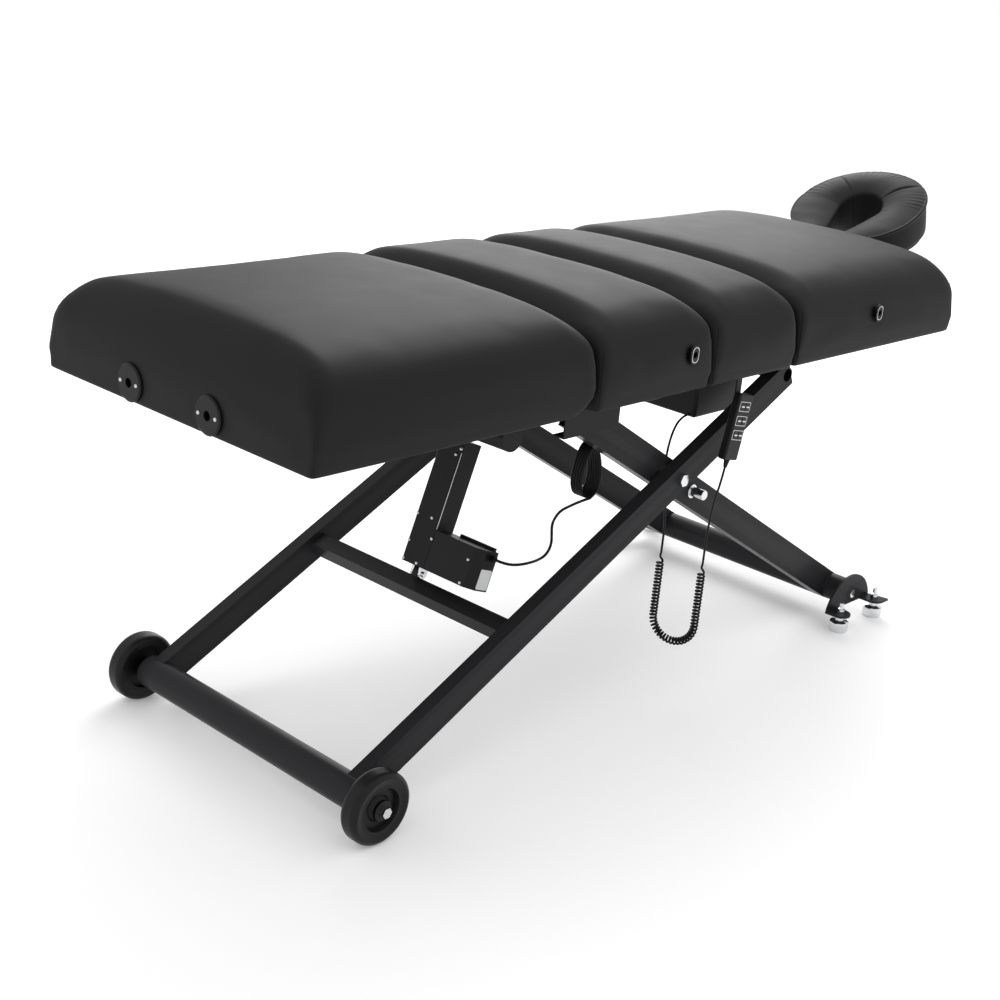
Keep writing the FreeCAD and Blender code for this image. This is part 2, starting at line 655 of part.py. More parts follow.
def top_pivot(hand):
    """Short tube from an outer side tube through its lug on the top frame; the middle stays free."""
    inside = s.rail_inside - s.plate_thickness
    low, high = (inside, s.outer_face) if hand > 0 else (-s.outer_face, -inside)
    return round_tube("Sizes.upper_tube_radius", "Sizes.tube_wall", outer_top, low, high)


node("top_pivots", group(*[top_pivot(hand) for name, hand in SIDES]))


def rail_lug():
    """Lug on the mid rail that the lift actuator's lower fork straddles."""
    base = mid_rail_centre
    half = s.eye_radius
    outline = strap_outline(lift_pin, half, (base.x - half, base.z), (base.x + half, base.z))
    return side_plate(outline, "Sizes.eye_width", s.lift_offset - s.eye_width / 2)


rail = square_tube("Sizes.rail_depth", "Sizes.rail_depth", 2 * outer_inside,
                   Placement(Vector(mid_rail_centre.x, -outer_inside, mid_rail_centre.z),
                             Rotation(Vector(0, 1, 0), -math.degrees(math.asin(outer_way.z))) * TO_Y))
lug_hole = pin_across(s.pin_radius + s.running_gap, lift_pin,
                      s.lift_offset - s.eye_width, s.lift_offset + s.eye_width)
node("mid_rail", cut(fuse(rail, rail_lug()), lug_hole))


def actuator_fork(pin, base_a, base_b, offset, hole):
    """Two plates either side of a rod eye, from the pin to a base line."""
    plates = []
    for hand in (-1, 1):
        inside = offset + hand * (s.eye_width / 2 + s.face_gap)
        low = inside if hand > 0 else inside - s.plate_thickness
        plates.append(side_plate(strap_outline(pin, hole + s.plate_thickness, base_a, base_b),
                                 "Sizes.plate_thickness", low, [(hole, pin)]))
    return plates


upper_tube = round_tube("Sizes.upper_tube_radius", "Sizes.tube_wall", inner_top, -s.inner_face, s.inner_face)
open_hole = s.pin_radius + s.open_pin_gap
root = s.upper_tube_radius / 2
upper_fork = actuator_fork(lift_eye, (inner_top.x - root, inner_top.z - root),
                           (inner_top.x + root, inner_top.z + root), s.lift_offset, open_hole)
tube_bore = pin_across(s.upper_tube_radius - s.tube_wall, inner_top, -s.inner_face, s.inner_face)
node("upper_cross_tube", cut(fuse(upper_tube, *upper_fork), tube_bore))


def roller(hand):
    """Nylon slide roller with its stub axle, plugged into the upper cross tube."""
    stub = s.upper_tube_radius - s.tube_wall - s.running_gap
    start = s.inner_face + s.face_gap
    root = start - s.roller_stub
    end = start + s.roller_width
    rim, chamfer = s.roller_radius, 2
    outline = polygon([(0, root), (stub, root), (stub, start), (rim - chamfer, start), (rim, start + chamfer),
                       (rim, end - chamfer), (rim - chamfer, end), (0, end)])
    return turned(outline, outward(inner_top, 0, hand))


node("slide_rollers", group(*[roller(hand) for name, hand in SIDES]))


def hex_edges(radius):
    turns = [math.radians(angle) for angle in range(0, 360, 60)]
    return polygon([(radius * math.cos(turn), radius * math.sin(turn)) for turn in turns])


def headed_bolt(centre, hand, radius, start, end, head_radius, head_height):
    """Bolt along Y with a hexagon head at its outer end."""
    shank = cylinder(radius, end - start, outward(centre, start, hand))
    head = plate(hex_edges(head_radius), head_height, outward(centre, end, hand))
    return fuse(shank, head)


def scissor_bolt(hand):
    """Pivot bolt with the washer that keeps the two frames apart."""
    bolt = headed_bolt(pivot, hand, "Sizes.bolt_radius", inner_inside, s.outer_face + s.face_gap,
                       s.bolt_head, "Sizes.bolt_head_height")
    washer = cylinder("Sizes.washer_radius", outer_inside - s.inner_face - s.face_gap,
                      outward(pivot, s.inner_face, hand))
    return fuse(bolt, washer)


def stop_peg(hand):
    """Chrome peg with a collar, standing on an inner tube."""
    radius, length, collar, chamfer = s.peg_radius, s.peg_length, 4, 1
    outline = polygon([(0, 0), (radius + collar, 0), (radius + collar, collar), (radius, collar),
                       (radius, length - chamfer), (radius - chamfer, length), (0, length)])
    return turned(outline, outward(stop_peg_centre, s.inner_face, hand))


node("stop_pegs", group(*[stop_peg(hand) for name, hand in SIDES]))

# Feet

foot_inside = s.cross_end + s.face_gap
foot_outside = foot_inside + s.foot_thickness


def cross_tube_plug(centre, hand, outer_end, head_height):
    """Plug pressed into a lower cross tube, with the pivot bolt or axle that it carries."""
    plug, end = s.cross_radius - s.tube_wall - s.running_gap, s.cross_end
    start = end - s.plug_length
    outline = polygon([(0, start), (plug, start), (plug, end), (s.axle_radius, end),
                       (s.axle_radius, outer_end), (0, outer_end)])
    head = plate(hex_edges(s.nut_radius), head_height, outward(centre, outer_end, hand))
    return fuse(turned(outline, outward(centre, 0, hand)), head)


foot_bolts = [cross_tube_plug(foot, hand, foot_outside + s.face_gap, "Sizes.foot_nut_height")
              for name, hand in SIDES]
node("pivot_bolts", group(*[scissor_bolt(hand) for name, hand in SIDES], *foot_bolts))


def foot_tab(side, reach_y, low_y):
    """Round tab over one glide, bent out from the foot plate; the head-end one has a pointed toe."""
    x = s.foot_x + side * s.glide_spacing / 2
    radius = s.glide_radius + 1
    left, right, tip = x - radius, x + radius, (x, reach_y - radius)
    drill = cylinder(s.stud_radius + s.seat_gap, 3 * s.foot_thickness,
                     at(x, reach_y, s.foot_plate_bottom - 2 * s.foot_thickness))
    edges = [line((left, low_y), (left, reach_y)), round_corner((x, reach_y), radius, 180, 270)]
    if side < 0:
        edges += [round_corner((x, reach_y), radius, 270, 360), line((right, reach_y), (right, low_y)),
                  line((right, low_y), (left, low_y))]
    else:
        toe, heel = (right + 2, reach_y - radius), (right - 10, low_y)
        edges += [line(tip, toe), line(toe, heel), line(heel, (left, low_y))]
    return cut(plate(edges, "Sizes.foot_thickness", at(0, 0, s.foot_plate_bottom)), drill)


def foot_bracket():
    """Half-moon plate on the near side, with two tabs and the pivot hole."""
    low, step = s.foot_plate_bottom, s.foot_plate_bottom + s.foot_step
    left, right = s.foot_x - s.foot_plate_width / 2, s.foot_x + s.foot_plate_width / 2
    outline = [line((left, low), (right, low)), line((right, low), (right, step)),
               arc((right, step), (s.foot_x, low + s.foot_plate_rise), (left, step)),
               line((left, step), (left, low))]
    moon = side_plate(outline, "Sizes.foot_thickness", -foot_outside)
    tabs = [foot_tab(side, -foot_outside - s.glide_reach, -foot_outside + 1) for side in (-1, 1)]
    drill = pin_across(s.axle_radius + s.running_gap, foot, -foot_outside - 5, -foot_inside + 5)
    return cut(fuse(moon, *tabs), drill)


def mirrored(feature):
    copy = doc.addObject("Part::Mirroring", "Mirror")
    copy.Source = feature
    copy.Normal = Vector(0, 1, 0)
    return copy


near_foot = node("foot_near", foot_bracket())
node("foot_far", mirrored(near_foot))


def glide(x, y):
    """Levelling glide: dark base, bright rim and a threaded stud."""
    radius, height = s.glide_radius, s.glide_height
    top = s.foot_plate_bottom + s.foot_thickness + s.stud_rise
    collar, stud, under = s.collar_radius, s.stud_radius, s.foot_plate_bottom
    outline = [line((0, 0), (radius - 3, 0)), line((radius - 3, 0), (radius - 1.5, 5)),
               line((radius - 1.5, 5), (radius, 5)), line((radius, 5), (radius, height - 3)),
               arc((radius, height - 3), (radius - 0.9, height - 0.9), (radius - 3, height)),
               line((radius - 3, height), (collar, height + 2)), line((collar, height + 2), (collar, under)),
               line((collar, under), (stud, under)), line((stud, under), (stud, top)),
               line((stud, top), (0, top)), line((0, top), (0, 0))]
    return turned(outline, at(x, y, 0))


def wing_nut(x, y):
    """Wing nut on a glide stud, on top of its tab."""
    low = s.foot_plate_bottom + s.foot_thickness
    hub = cylinder("Sizes.collar_radius", "Sizes.collar_radius", at(x, y, low))
    wing = [(6, 3), (15, 9), (19, 16), (13, 17), (6, 9)]
    turns = [Rotation(Vector(0, 0, 1), angle) * FROM_SIDE for angle in (20, 200)]
    wings = [plate(polygon(wing), "Sizes.sheet_thickness", Placement(Vector(x, y, low), turn))
             for turn in turns]
    return cut(fuse(hub, *wings), cylinder(s.stud_radius + s.running_gap, s.stud_rise, at(x, y, low - 1)))


glide_places = [(s.foot_x + side * s.glide_spacing / 2, hand * (foot_outside + s.glide_reach))
                for name, hand in SIDES for side in (-1, 1)]
node("glides", group(*[glide(x, y) for x, y in glide_places]))
node("wing_nuts", group(*[wing_nut(x, y) for x, y in glide_places]))

# Wheels

wheel_inside = s.wheel_middle - s.wheel_width / 2
wheel_outside = s.wheel_middle + s.wheel_width / 2
axles = [cross_tube_plug(axle, hand, wheel_outside + s.face_gap, "Sizes.axle_nut_height")
         for name, hand in SIDES]
node("wheel_axles", group(*axles))


def tyre_outline():
    """Half section of a tyre, its tread rounded at both shoulders."""
    half, tread = s.wheel_width / 2, s.wheel_radius
    seat, lip, side, shoulder = tread - s.tyre_depth, half - 3, tread - 9, half - 12
    return [line((seat, -lip), (side, -half)),
            arc((side, -half), (tread - 2, -half + 5), (tread, -shoulder)),
            line((tread, -shoulder), (tread, shoulder)),
            arc((tread, shoulder), (tread - 2, half - 5), (side, half)),
            line((side, half), (seat, lip)), line((seat, lip), (seat, -lip))]


def hub_outline():
    """Half section of a hub: rim, thin web and a boss that reaches in to the cross tube."""
    half = s.wheel_width / 2
    rim = s.wheel_radius - s.tyre_depth - s.running_gap
    bore, boss, lip, web = s.axle_radius + s.running_gap, 18, half - 3, half - 12
    inner = s.cross_end + s.face_gap - s.wheel_middle
    return polygon([(bore, inner), (boss, inner), (boss, -web), (rim - 8, -web), (rim - 6, -lip),
                    (rim, -lip), (rim, lip), (rim - 6, lip), (rim - 10, web), (boss + 6, web),
                    (boss, half - 6), (boss, half), (bore, half)])


for name, hand in SIDES:
    node(f"tyre_{name}", turned(tyre_outline(), outward(axle, s.wheel_middle, hand)))
    node(f"hub_{name}", turned(hub_outline(), outward(axle, s.wheel_middle, hand)))

# Lift actuator


def in_column(across, offset, along):
    """Point of the lift actuator from its lower pin: across X, along Y, along its own axis."""
    local = slope(lift_way).multVec(Vector(across, 0, along))
    return Vector(lift_pin.x + local.x, s.lift_offset + offset, lift_pin.z + local.z)


def lift_column():
    """Column with the motor housing at its foot, one L-shaped shell, and the rod's bore."""
    t, w = s.column_thickness / 2, s.column_width / 2
    tall = s.column_end - s.column_start
    turn = slope(lift_way)
    column = box("Sizes.column_thickness", "Sizes.column_width", tall,
                 Placement(in_column(-t, -w, s.column_start), turn))
    rounded = fillet(column, s.column_round, lambda edge: abs(edge.tangentAt(0).dot(lift_way)) > 0.99)
    bore = cylinder(s.rod_radius + s.running_gap, tall,
                    Placement(in_column(0, 0, s.column_start + s.column_floor), turn))
    return cut(rounded, bore)


def gland_place(out):
    """Point on the axis of the motor's cable gland, a distance out of the housing's end."""
    return in_column(s.column_thickness / 2 - s.gland_inset, -s.column_width / 2 - s.motor_reach - out,
                     s.column_start + s.motor_height - s.gland_drop)


def lift_motor():
    """Motor housing standing out towards the near side, its end bevelled, with a cable gland."""
    t, w = s.column_thickness / 2, s.column_width / 2
    far, bevel = w + s.motor_reach, s.motor_bevel
    outline = polygon([(-t, -w), (t, -w), (t, -far), (-t + bevel, -far), (-t, -far + bevel)])
    turn = slope(lift_way)
    body = plate(outline, "Sizes.motor_height", Placement(in_column(0, 0, s.column_start), turn))
    ridge = box("Sizes.motor_ridge", s.motor_reach * 0.75, "Sizes.motor_ridge",
                Placement(in_column(t - s.motor_ridge, -far * 0.95, s.column_start + s.motor_height), turn))
    gland = cylinder("Sizes.gland_radius", "Sizes.gland_length", Placement(gland_place(s.gland_length), TO_Y))
    return fuse(body, ridge, gland)


def lower_fork():
    """Chrome fork under the column, with its pin through the rail's lug."""
    radius = s.eye_radius - 2
    root_a, root_b = in_column(-radius, 0, s.column_start), in_column(radius, 0, s.column_start)
    outline = strap_outline(lift_pin, radius, (root_a.x, root_a.z), (root_b.x, root_b.z))
    ears = []
    for hand in (-1, 1):
        inside = s.lift_offset + hand * (s.eye_width / 2 + s.face_gap)
        low = inside if hand > 0 else inside - s.plate_thickness
        ears.append(side_plate(outline, "Sizes.plate_thickness", low))
    reach = s.eye_width / 2 + s.face_gap + s.plate_thickness + 4
    return fuse(*ears, pin_across("Sizes.pin_radius", lift_pin, s.lift_offset - reach, s.lift_offset + reach))


def rod_with_eye(pin, way, offset, start, cross_pin):
    """Chrome rod along a direction that ends in an eye with its pin."""
    rod = cylinder("Sizes.rod_radius", (pin - start).Length - s.eye_radius / 2,
                   Placement(Vector(start.x, offset, start.z), slope(way)))
    eye = pin_across("Sizes.eye_radius", pin, offset - s.eye_width / 2, offset + s.eye_width / 2)
    trimmed = []
    for hand in (-1, 1):
        low = offset + s.eye_width / 2 if hand > 0 else offset - s.eye_width / 2 - 2 * s.eye_radius
        corner = slope(way).multVec(Vector(-2 * s.eye_radius, 0, -s.neck_length))
        trimmed.append(box(4 * s.eye_radius, 2 * s.eye_radius, s.neck_length + s.eye_radius + 1,
                           Placement(Vector(pin.x, low, pin.z) + corner, slope(way))))
    reach = s.eye_width / 2 + s.face_gap + s.plate_thickness + 3
    return fuse(cut(fuse(rod, eye), *trimmed), pin_across(cross_pin, pin, offset - reach, offset + reach))


node("lift_column", lift_column())
node("lift_motor", lift_motor())
node("lift_fork", lower_fork())
rod_start = lift_pin + lift_way * (s.column_start + s.lift_rod_inset)
node("lift_rod", rod_with_eye(lift_eye, lift_way, s.lift_offset, rod_start, "Sizes.pin_radius"))

# Top frame under the seat and middle sections

bar_low = cushion_bottom - s.bar_height
rail_start = leg_joint - s.rail_overhang
rail_length = outer_top.x + s.rail_tail - rail_start


def hinge_lug(hand):
    """Lug under a rail that carries a top pivot of the outer frame."""
    half = s.lug_foot / 2
    outline = strap_outline(outer_top, s.upper_tube_radius + 2 * s.plate_thickness + 2,
                            (outer_top.x - half, bar_low), (outer_top.x + half, bar_low))
    low = s.rail_inside if hand > 0 else -s.rail_inside - 2 * s.plate_thickness
    return side_plate(outline, 2 * s.plate_thickness, low, [(tube_drill, outer_top)])


for name, hand in SIDES:
    low = s.rail_inside if hand > 0 else -s.rail_inside - s.bar_width
    bar = box(rail_length, "Sizes.bar_width", "Sizes.bar_height", at(rail_start, low, bar_low))
    node(f"top_rail_{name}", fuse(bar, hinge_lug(hand)))

tie_places = (leg_pin.x - s.tie_width / 2, back_pin.x - s.tie_width / 2, back_joint - s.tie_behind)


def tie_bracket(pin, offset):
    """Fork hanging from a cross tie for an actuator's fixed pin."""
    hole, half = s.pin_radius + s.running_gap, s.tie_width / 2
    return actuator_fork(pin, (pin.x - half, bar_low), (pin.x + half, bar_low), offset, hole)


ties = [box("Sizes.tie_width", 2 * s.rail_inside, "Sizes.bar_height", at(x, -s.rail_inside, bar_low))
        for x in tie_places]
node("cross_ties", group(fuse(ties[0], *tie_bracket(leg_pin, s.leg_offset)),
                         fuse(ties[1], *tie_bracket(back_pin, s.back_offset)), ties[2]))


def roller_channel(hand):
    """Channel that an inner-frame roller runs in, hung from the rail by two arms."""
    inside = s.roller_radius + s.roller_gap
    outside = inside + s.sheet_thickness
    y_in, y_out = s.inner_face + s.face_gap + 1, s.inner_face + s.face_gap + s.roller_width + 2
    y_back, z = y_out + s.sheet_thickness, upper_height
    lip = [(y_in, z + inside), (y_out, z + inside), (y_out, z - inside), (y_in, z - inside),
           (y_in, z - outside), (y_back, z - outside), (y_back, z + outside), (y_in, z + outside)]
    points = [(hand * y, height) for y, height in lip]
    start = inner_top.x - s.channel_length / 2
    channel = plate(polygon(points), "Sizes.channel_length", at(start, 0, 0, FROM_END))
    arm_y = s.rail_inside + s.bar_width
    arm_width = y_back - arm_y
    arm_low = z + outside
    arms = [box("Sizes.tie_width", arm_width, cushion_bottom - arm_low,
                at(x, arm_y if hand > 0 else -arm_y - arm_width, arm_low))
            for x in (start, start + s.channel_length - s.tie_width)]
    return fuse(channel, *arms)


node("roller_channels", group(*[roller_channel(hand) for name, hand in SIDES]))


def hinge_pair(joint, hand):
    """Ears of one section hinge: fixed on the rails, moving under the section; hand is the section's side."""
    eye = Vector(joint, 0, hinge_height)
    fixed, moving = [], []
    t, gap = s.plate_thickness, s.face_gap
    for side in (-1, 1):
        foot_a = (joint - hand * (s.ear_start + s.ear_foot), bar_low)
        foot_b = (joint - hand * s.ear_start, bar_low)
        low = s.rail_inside - t if side > 0 else -s.rail_inside
        ear = side_plate(strap_outline(eye, s.ear_radius, foot_a, foot_b), "Sizes.plate_thickness", low)
        span = 2 * t + gap
        pin_low = s.rail_inside - span if side > 0 else -s.rail_inside
        fixed.append(fuse(ear, pin_across("Sizes.hinge_pin_radius", eye, pin_low, pin_low + span)))
        low = s.rail_inside - span if side > 0 else -s.rail_inside + t + gap
        shoe_low = cushion_bottom - s.shoe_thickness
        foot_a = (joint + hand * s.shoe_start, shoe_low)
        foot_b = (joint + hand * (s.shoe_start + s.shoe_width), shoe_low)
        strap = side_plate(strap_outline(eye, s.ear_radius, foot_a, foot_b), "Sizes.plate_thickness", low,
                           [(s.hinge_pin_radius + s.running_gap, eye)])
        foot_low = low - s.shoe_width if side > 0 else low
        shoe_x = joint + s.shoe_start if hand > 0 else joint - s.shoe_start - s.shoe_length
        shoe = box("Sizes.shoe_length", s.shoe_width + t, "Sizes.shoe_thickness",
                   at(shoe_x, foot_low, shoe_low))
        moving.append(fuse(strap, shoe))
    return fixed, moving


def section_bracket(eye, offset, hole, hand):
    """Shoe under a section, away from the rod, with two drilled plates beside its actuator's rod eye."""
    low = cushion_bottom - s.shoe_thickness
    wide = hole + s.plate_thickness
    left, right, under = eye.x - wide, eye.x + wide, eye.z - wide
    outline = [(left, under), (right, under), (right, low), (left, low)]
    plates = []
    for side in (-1, 1):
        inside = offset + side * (s.eye_width / 2 + s.face_gap)
        plate_low = inside if side > 0 else inside - s.plate_thickness
        plates.append(side_plate(polygon(outline), "Sizes.plate_thickness", plate_low, [(hole, eye)]))
    shoe_x = left if hand > 0 else right - s.shoe_length
    shoe = box("Sizes.shoe_length", "Sizes.shoe_length", "Sizes.shoe_thickness",
               at(shoe_x, offset - s.shoe_length / 2, low))
    return fuse(shoe, *plates)


leg_fixed, leg_moving = hinge_pair(leg_joint, -1)
back_fixed, back_moving = hinge_pair(back_joint, 1)
node("hinge_ears", group(*leg_fixed, *back_fixed))
leg_hole = leg_eye + Vector(s.leg_hole_x, 0, s.leg_hole_z)
back_hole = back_eye + Vector(s.back_hole_x, 0, s.back_hole_z)
leg_bracket = section_bracket(leg_hole, s.leg_offset, s.pin_radius + s.leg_hole_gap, -1)
node("leg_brackets", group(*leg_moving, leg_bracket))
back_bracket = section_bracket(back_hole, s.back_offset, s.pin_radius + s.back_hole_gap, 1)
node("back_brackets", group(*back_moving, back_bracket))


def drive(label, pin, eye, offset, length, motor_hand):
    """Leg or back actuator: housing with its gear motor across it, and the rod."""
    way = (eye - pin).normalize()
    turn = slope(way)
    start = s.eye_radius + s.drive_tail
    tube = cylinder("Sizes.housing_radius", length - start,
                    Placement(Vector(pin.x, offset, pin.z) + way * start, turn))
    floor = start + 2 * s.rod_radius
    bore = cylinder(s.rod_radius + s.running_gap, length - start,
                    Placement(Vector(pin.x, offset, pin.z) + way * floor, turn))
    tail = box(2 * s.eye_radius, "Sizes.eye_width", start + s.eye_radius,
               Placement(Vector(pin.x, offset - s.eye_width / 2, pin.z)
                         + turn.multVec(Vector(-s.eye_radius, 0, -s.eye_radius + 1)), turn))
    head_centre = pin + way * (start + s.gear_motor_radius + s.gear_motor_inset)
    span = s.housing_radius + s.gear_motor_length
    low = offset if motor_hand > 0 else offset - span
    motor = pin_across("Sizes.gear_motor_radius", head_centre, low, low + span)
    reach = s.eye_width / 2 + s.face_gap + s.plate_thickness + 3
    cross = pin_across("Sizes.pin_radius", pin, offset - reach, offset + reach)
    rod_start = pin + way * (start + s.rod_inset)
    node(f"{label}_actuator", fuse(cut(fuse(tube, motor, tail), bore), cross))
    node(f"{label}_rod", rod_with_eye(eye, way, offset, rod_start, "Sizes.pin_radius"))


drive("leg", leg_pin, leg_eye, s.leg_offset, s.leg_housing, -1)
drive("back", back_pin, back_eye, s.back_offset, s.back_housing, 1)

# Control box and handset


def control_box():
    """Box under the near rail, its upright and lower edges rounded."""
    low = bar_low - s.box_height
    shell = box("Sizes.box_length", "Sizes.box_width", "Sizes.box_height", at(s.box_x, s.box_edge, low))
    return fillet(shell, s.box_round, lambda edge: edge.BoundBox.ZMin < low + 1)


node("control_box", control_box())
handset_turn = Rotation(Vector(0, 1, 0), s.handset_lean)
handset_face = s.table_width / 2
handset_height = cushion_bottom - s.handset_drop


def in_handset(x, y, z):
    """Point of the handset from the bottom middle of its front face; y runs into the handset."""
    local = handset_turn.multVec(Vector(x, 0, z))
    return Vector(s.handset_x + local.x, -handset_face + y, handset_height + local.z)


def handset():
    """Moulded handset with rounded edges, a strain relief and six button pockets."""
    shell = box("Sizes.handset_width", "Sizes.handset_depth", "Sizes.handset_length",
                Placement(in_handset(-s.handset_width / 2, 0, 0), handset_turn))
    rounded = fillet(shell, s.handset_round, lambda edge: True)
    relief = doc.addObject("Part::Cone", "Cone")
    relief.Radius1 = s.cord_radius + 1
    relief.Radius2 = s.handset_depth / 2 - 2
    relief.Height = s.relief_length + 4
    relief.Placement = Placement(in_handset(0, s.handset_depth / 2, -s.relief_length), handset_turn)
    pockets = [button_block(column, row, s.seat_gap / 2, 0) for column, row in BUTTONS]
    return cut(fuse(rounded, relief), *pockets)


BUTTONS = [(column, row) for row in range(3) for column in range(2)]


def button_block(column, row, clearance, rise):
    """One button, or its pocket when it is made larger by a clearance."""
    x = (column - 0.5) * s.button_pitch_x
    z = s.button_first + row * s.button_pitch_z
    deep = s.button_depth if rise else s.button_pocket + 1
    front = -rise if rise else -1
    w, h = s.button_width + 2 * clearance, s.button_height + 2 * clearance
    return box(w, deep, h, Placement(in_handset(x - w / 2, front, z - h / 2), handset_turn))


node("handset", handset())
for column, row in BUTTONS:
    place = ("left", "right")[column]
    node(f"button_{row + 1}_{place}", button_block(column, row, 0, s.button_rise))


def handset_hook():
    """Folded strap under the middle section that the handset's back hangs on."""
    t = s.sheet_thickness
    back = -handset_face + s.handset_depth
    low = handset_height + s.hook_reach
    x = s.handset_x + s.hook_width * 0.75
    strap = box("Sizes.hook_width", t, cushion_bottom - low, at(x, back, low))
    flange = box("Sizes.hook_width", "Sizes.hook_flange", t, at(x, back, cushion_bottom - t))
    return fuse(strap, flange)


node("handset_hook", handset_hook())

# Cords and cables


def arc_past(start, corner, end):
    """Arc between two points that touches the lines from both to a corner as far from each."""
    middle = (start + end) * 0.5
    out = corner - middle
    half = (end - start).Length / 2
    radius = half * (corner - start).Length / out.Length
    depth = radius - math.sqrt(radius ** 2 - half ** 2)
    return Part.Arc(start, middle + out.normalize() * depth, end).toShape()


def runs(label, points):
    """Straight runs with an arc at each corner, as large as the two runs allow."""
    edges, radii = [], []
    last = points[0]
    for before, corner, after in zip(points, points[1:], points[2:]):
        into, out = corner - before, after - corner
        reach = 0.45 * min(into.Length, out.Length)
        radii.append(reach / math.tan(into.getAngle(out) / 2))
        start = corner - into.normalize() * reach
        end = corner + out.normalize() * reach
        edges += [Part.LineSegment(last, start).toShape(), arc_past(start, corner, end)]
        last = end
    print(label, "radii", [round(radius) for radius in radii])
    return edges + [Part.LineSegment(last, points[-1]).toShape()]


def biarc(start, way_in, end, way_out):
    """Two arcs that join two points in given directions."""
    span = end - start
    both = span.dot(way_in + way_out)
    spread = 2 * (1 - way_in.dot(way_out))
    reach = (math.sqrt(both ** 2 + spread * span.dot(span)) - both) / spread
    first = start + way_in * reach
    second = end - way_out * reach
    middle = (first + second) * 0.5
    return [arc_past(start, first, middle), arc_past(middle, second, end)]


def wound(label, place, turns, parts, radius):
    """Biarcs along a wound formula, a few to each turn, with its least gap to itself printed."""
    small = 1e-4

    def way(turn):
        return (place(turn + small) - place(turn - small)).normalize()

    steps = round(turns * parts)
    marks = [index / parts for index in range(steps + 1)]
    edges = []
    for a, b in zip(marks, marks[1:]):
        edges += biarc(place(a), way(a), place(b), way(b))
    fine = 24
    points = [place(index / fine) for index in range(round(turns * fine) + 1)]
    gap = min(points[i].distanceToPoint(points[j]) for i in range(len(points))
              for j in range(i + fine // 2, min(i + 2 * fine, len(points)))) - 2 * radius
    print(label, "least gap to itself", round(gap, 2))
    return edges


def cord(label, edges, radius):
    """Round tube along joined edges: its ring is drawn along a line and turned about an arc's own axis."""
    point = edges[0].valueAt(edges[0].FirstParameter)
    way = edges[0].tangentAt(edges[0].FirstParameter)
    side = way.cross(Vector(0.3, 0.5, 0.8)).normalize()
    ring = Part.makeCircle(radius)
    ring.Placement = Placement(point, Rotation(side, way.cross(side), way, "ZXY"))
    faces = [Part.Face(Part.Wire(ring))]
    length = 0
    for edge in edges:
        length += edge.Length
        if isinstance(edge.Curve, Part.Circle):
            angle = math.degrees(edge.LastParameter - edge.FirstParameter)
            faces.append(ring.revolve(edge.Curve.Center, edge.Curve.Axis, angle))
            ring = ring.rotated(edge.Curve.Center, edge.Curve.Axis, angle)
        else:
            step = edge.valueAt(edge.LastParameter) - edge.valueAt(edge.FirstParameter)
            faces.append(ring.extrude(step))
            ring = ring.translated(step)
    faces.append(Part.Face(Part.Wire(ring)))
    tube = Part.makeSolid(sewn(faces))
    if tube.Volume < 0:
        tube.reverse()
    feature = doc.addObject("Part::Feature", "Cord")
    feature.Shape = tube
    share = tube.Volume / (math.pi * radius ** 2 * length)
    print(label, "length", round(length), "volume share", round(share, 4))
    return node(label, feature)


def sewn(faces):
    """One closed shell from faces that share their edges."""
    shell = Part.makeShell(faces)
    shell.sewShape()
    return shell


def vectors(*points):
    return [Vector(*point) for point in points]


# Curly handset cord: a lead from the box, a hanging loop of curls and a lead to the handset

loop_box_side = Vector(s.loop_x, s.loop_y, s.loop_top)
loop_hand_side = loop_box_side + Vector(s.loop_width_x, -s.loop_width_y, 0)
loop_across = loop_hand_side - loop_box_side
loop_radius = loop_across.Length / 2
loop_way = Vector(loop_across).normalize()
loop_normal = loop_way.cross(Vector(0, 0, 1))
loop_leg = s.loop_top - s.loop_bottom - loop_radius
curled_length = 2 * loop_leg + math.pi * loop_radius
all_curls = s.curl_count + 2
curl_pitch = (curled_length - 2 * s.curl_ease) / all_curls


def hanging_loop(distance):
    """Point and direction of the loop's middle line: straight down, half a circle, straight up."""
    turn = min(max((distance - loop_leg) / loop_radius, 0), math.pi)
    over = distance - loop_leg - turn * loop_radius
    way = loop_way * math.sin(turn) - Vector(0, 0, 1) * math.cos(turn)
    bend = loop_box_side + loop_across * 0.5 - Vector(0, 0, loop_leg)
    point = bend - (loop_way * math.cos(turn) + Vector(0, 0, 1) * math.sin(turn)) * loop_radius
    return point + way * over, way


def curl(turn):
    """Point of the curly cord; its first and last turns open out onto the middle line."""
    lead = min(max(turn, 0), 1)
    tail = min(max(all_curls - turn, 0), 1)
    distance = curl_pitch * turn + s.curl_ease * (1 - (1 - lead) ** 2 + (1 - tail) ** 2)
    near_end = min(lead, tail)
    radius = s.curl_radius * near_end ** 2 * (3 - 2 * near_end)
    point, way = hanging_loop(distance)
    angle = 2 * math.pi * turn
    return point + (loop_normal * math.cos(angle) + way.cross(loop_normal) * math.sin(angle)) * radius


CORD_FROM_BOX = vectors(
    (s.box_x, -196, 556), (160, -197, 554), (136, -200, 540), (116, -205, 510), (106, -209, 470),
    (108, -211, 428), (118, -212, 388), (126, -212, 350), loop_box_side + Vector(0, 0, 36), loop_box_side)
relief_end = in_handset(0, s.handset_depth / 2, -s.relief_length)
CORD_TO_HANDSET = vectors(
    loop_hand_side, loop_hand_side + Vector(0, 0, 36), (146, -303, 350), (140, -309, 386), (130, -319, 418),
    in_handset(0, s.handset_depth / 2, -s.relief_length - 28), relief_end)
cord("handset_cord", runs("cord from box", CORD_FROM_BOX) + wound("curls", curl, all_curls, 2, s.cord_radius)
     + runs("cord to handset", CORD_TO_HANDSET), s.cord_radius)

# Cable of the lift motor: a free stretch, a hank of spare cable on the near inner tube, a stretch to the box

hank_turns = s.hank_loops + 0.25


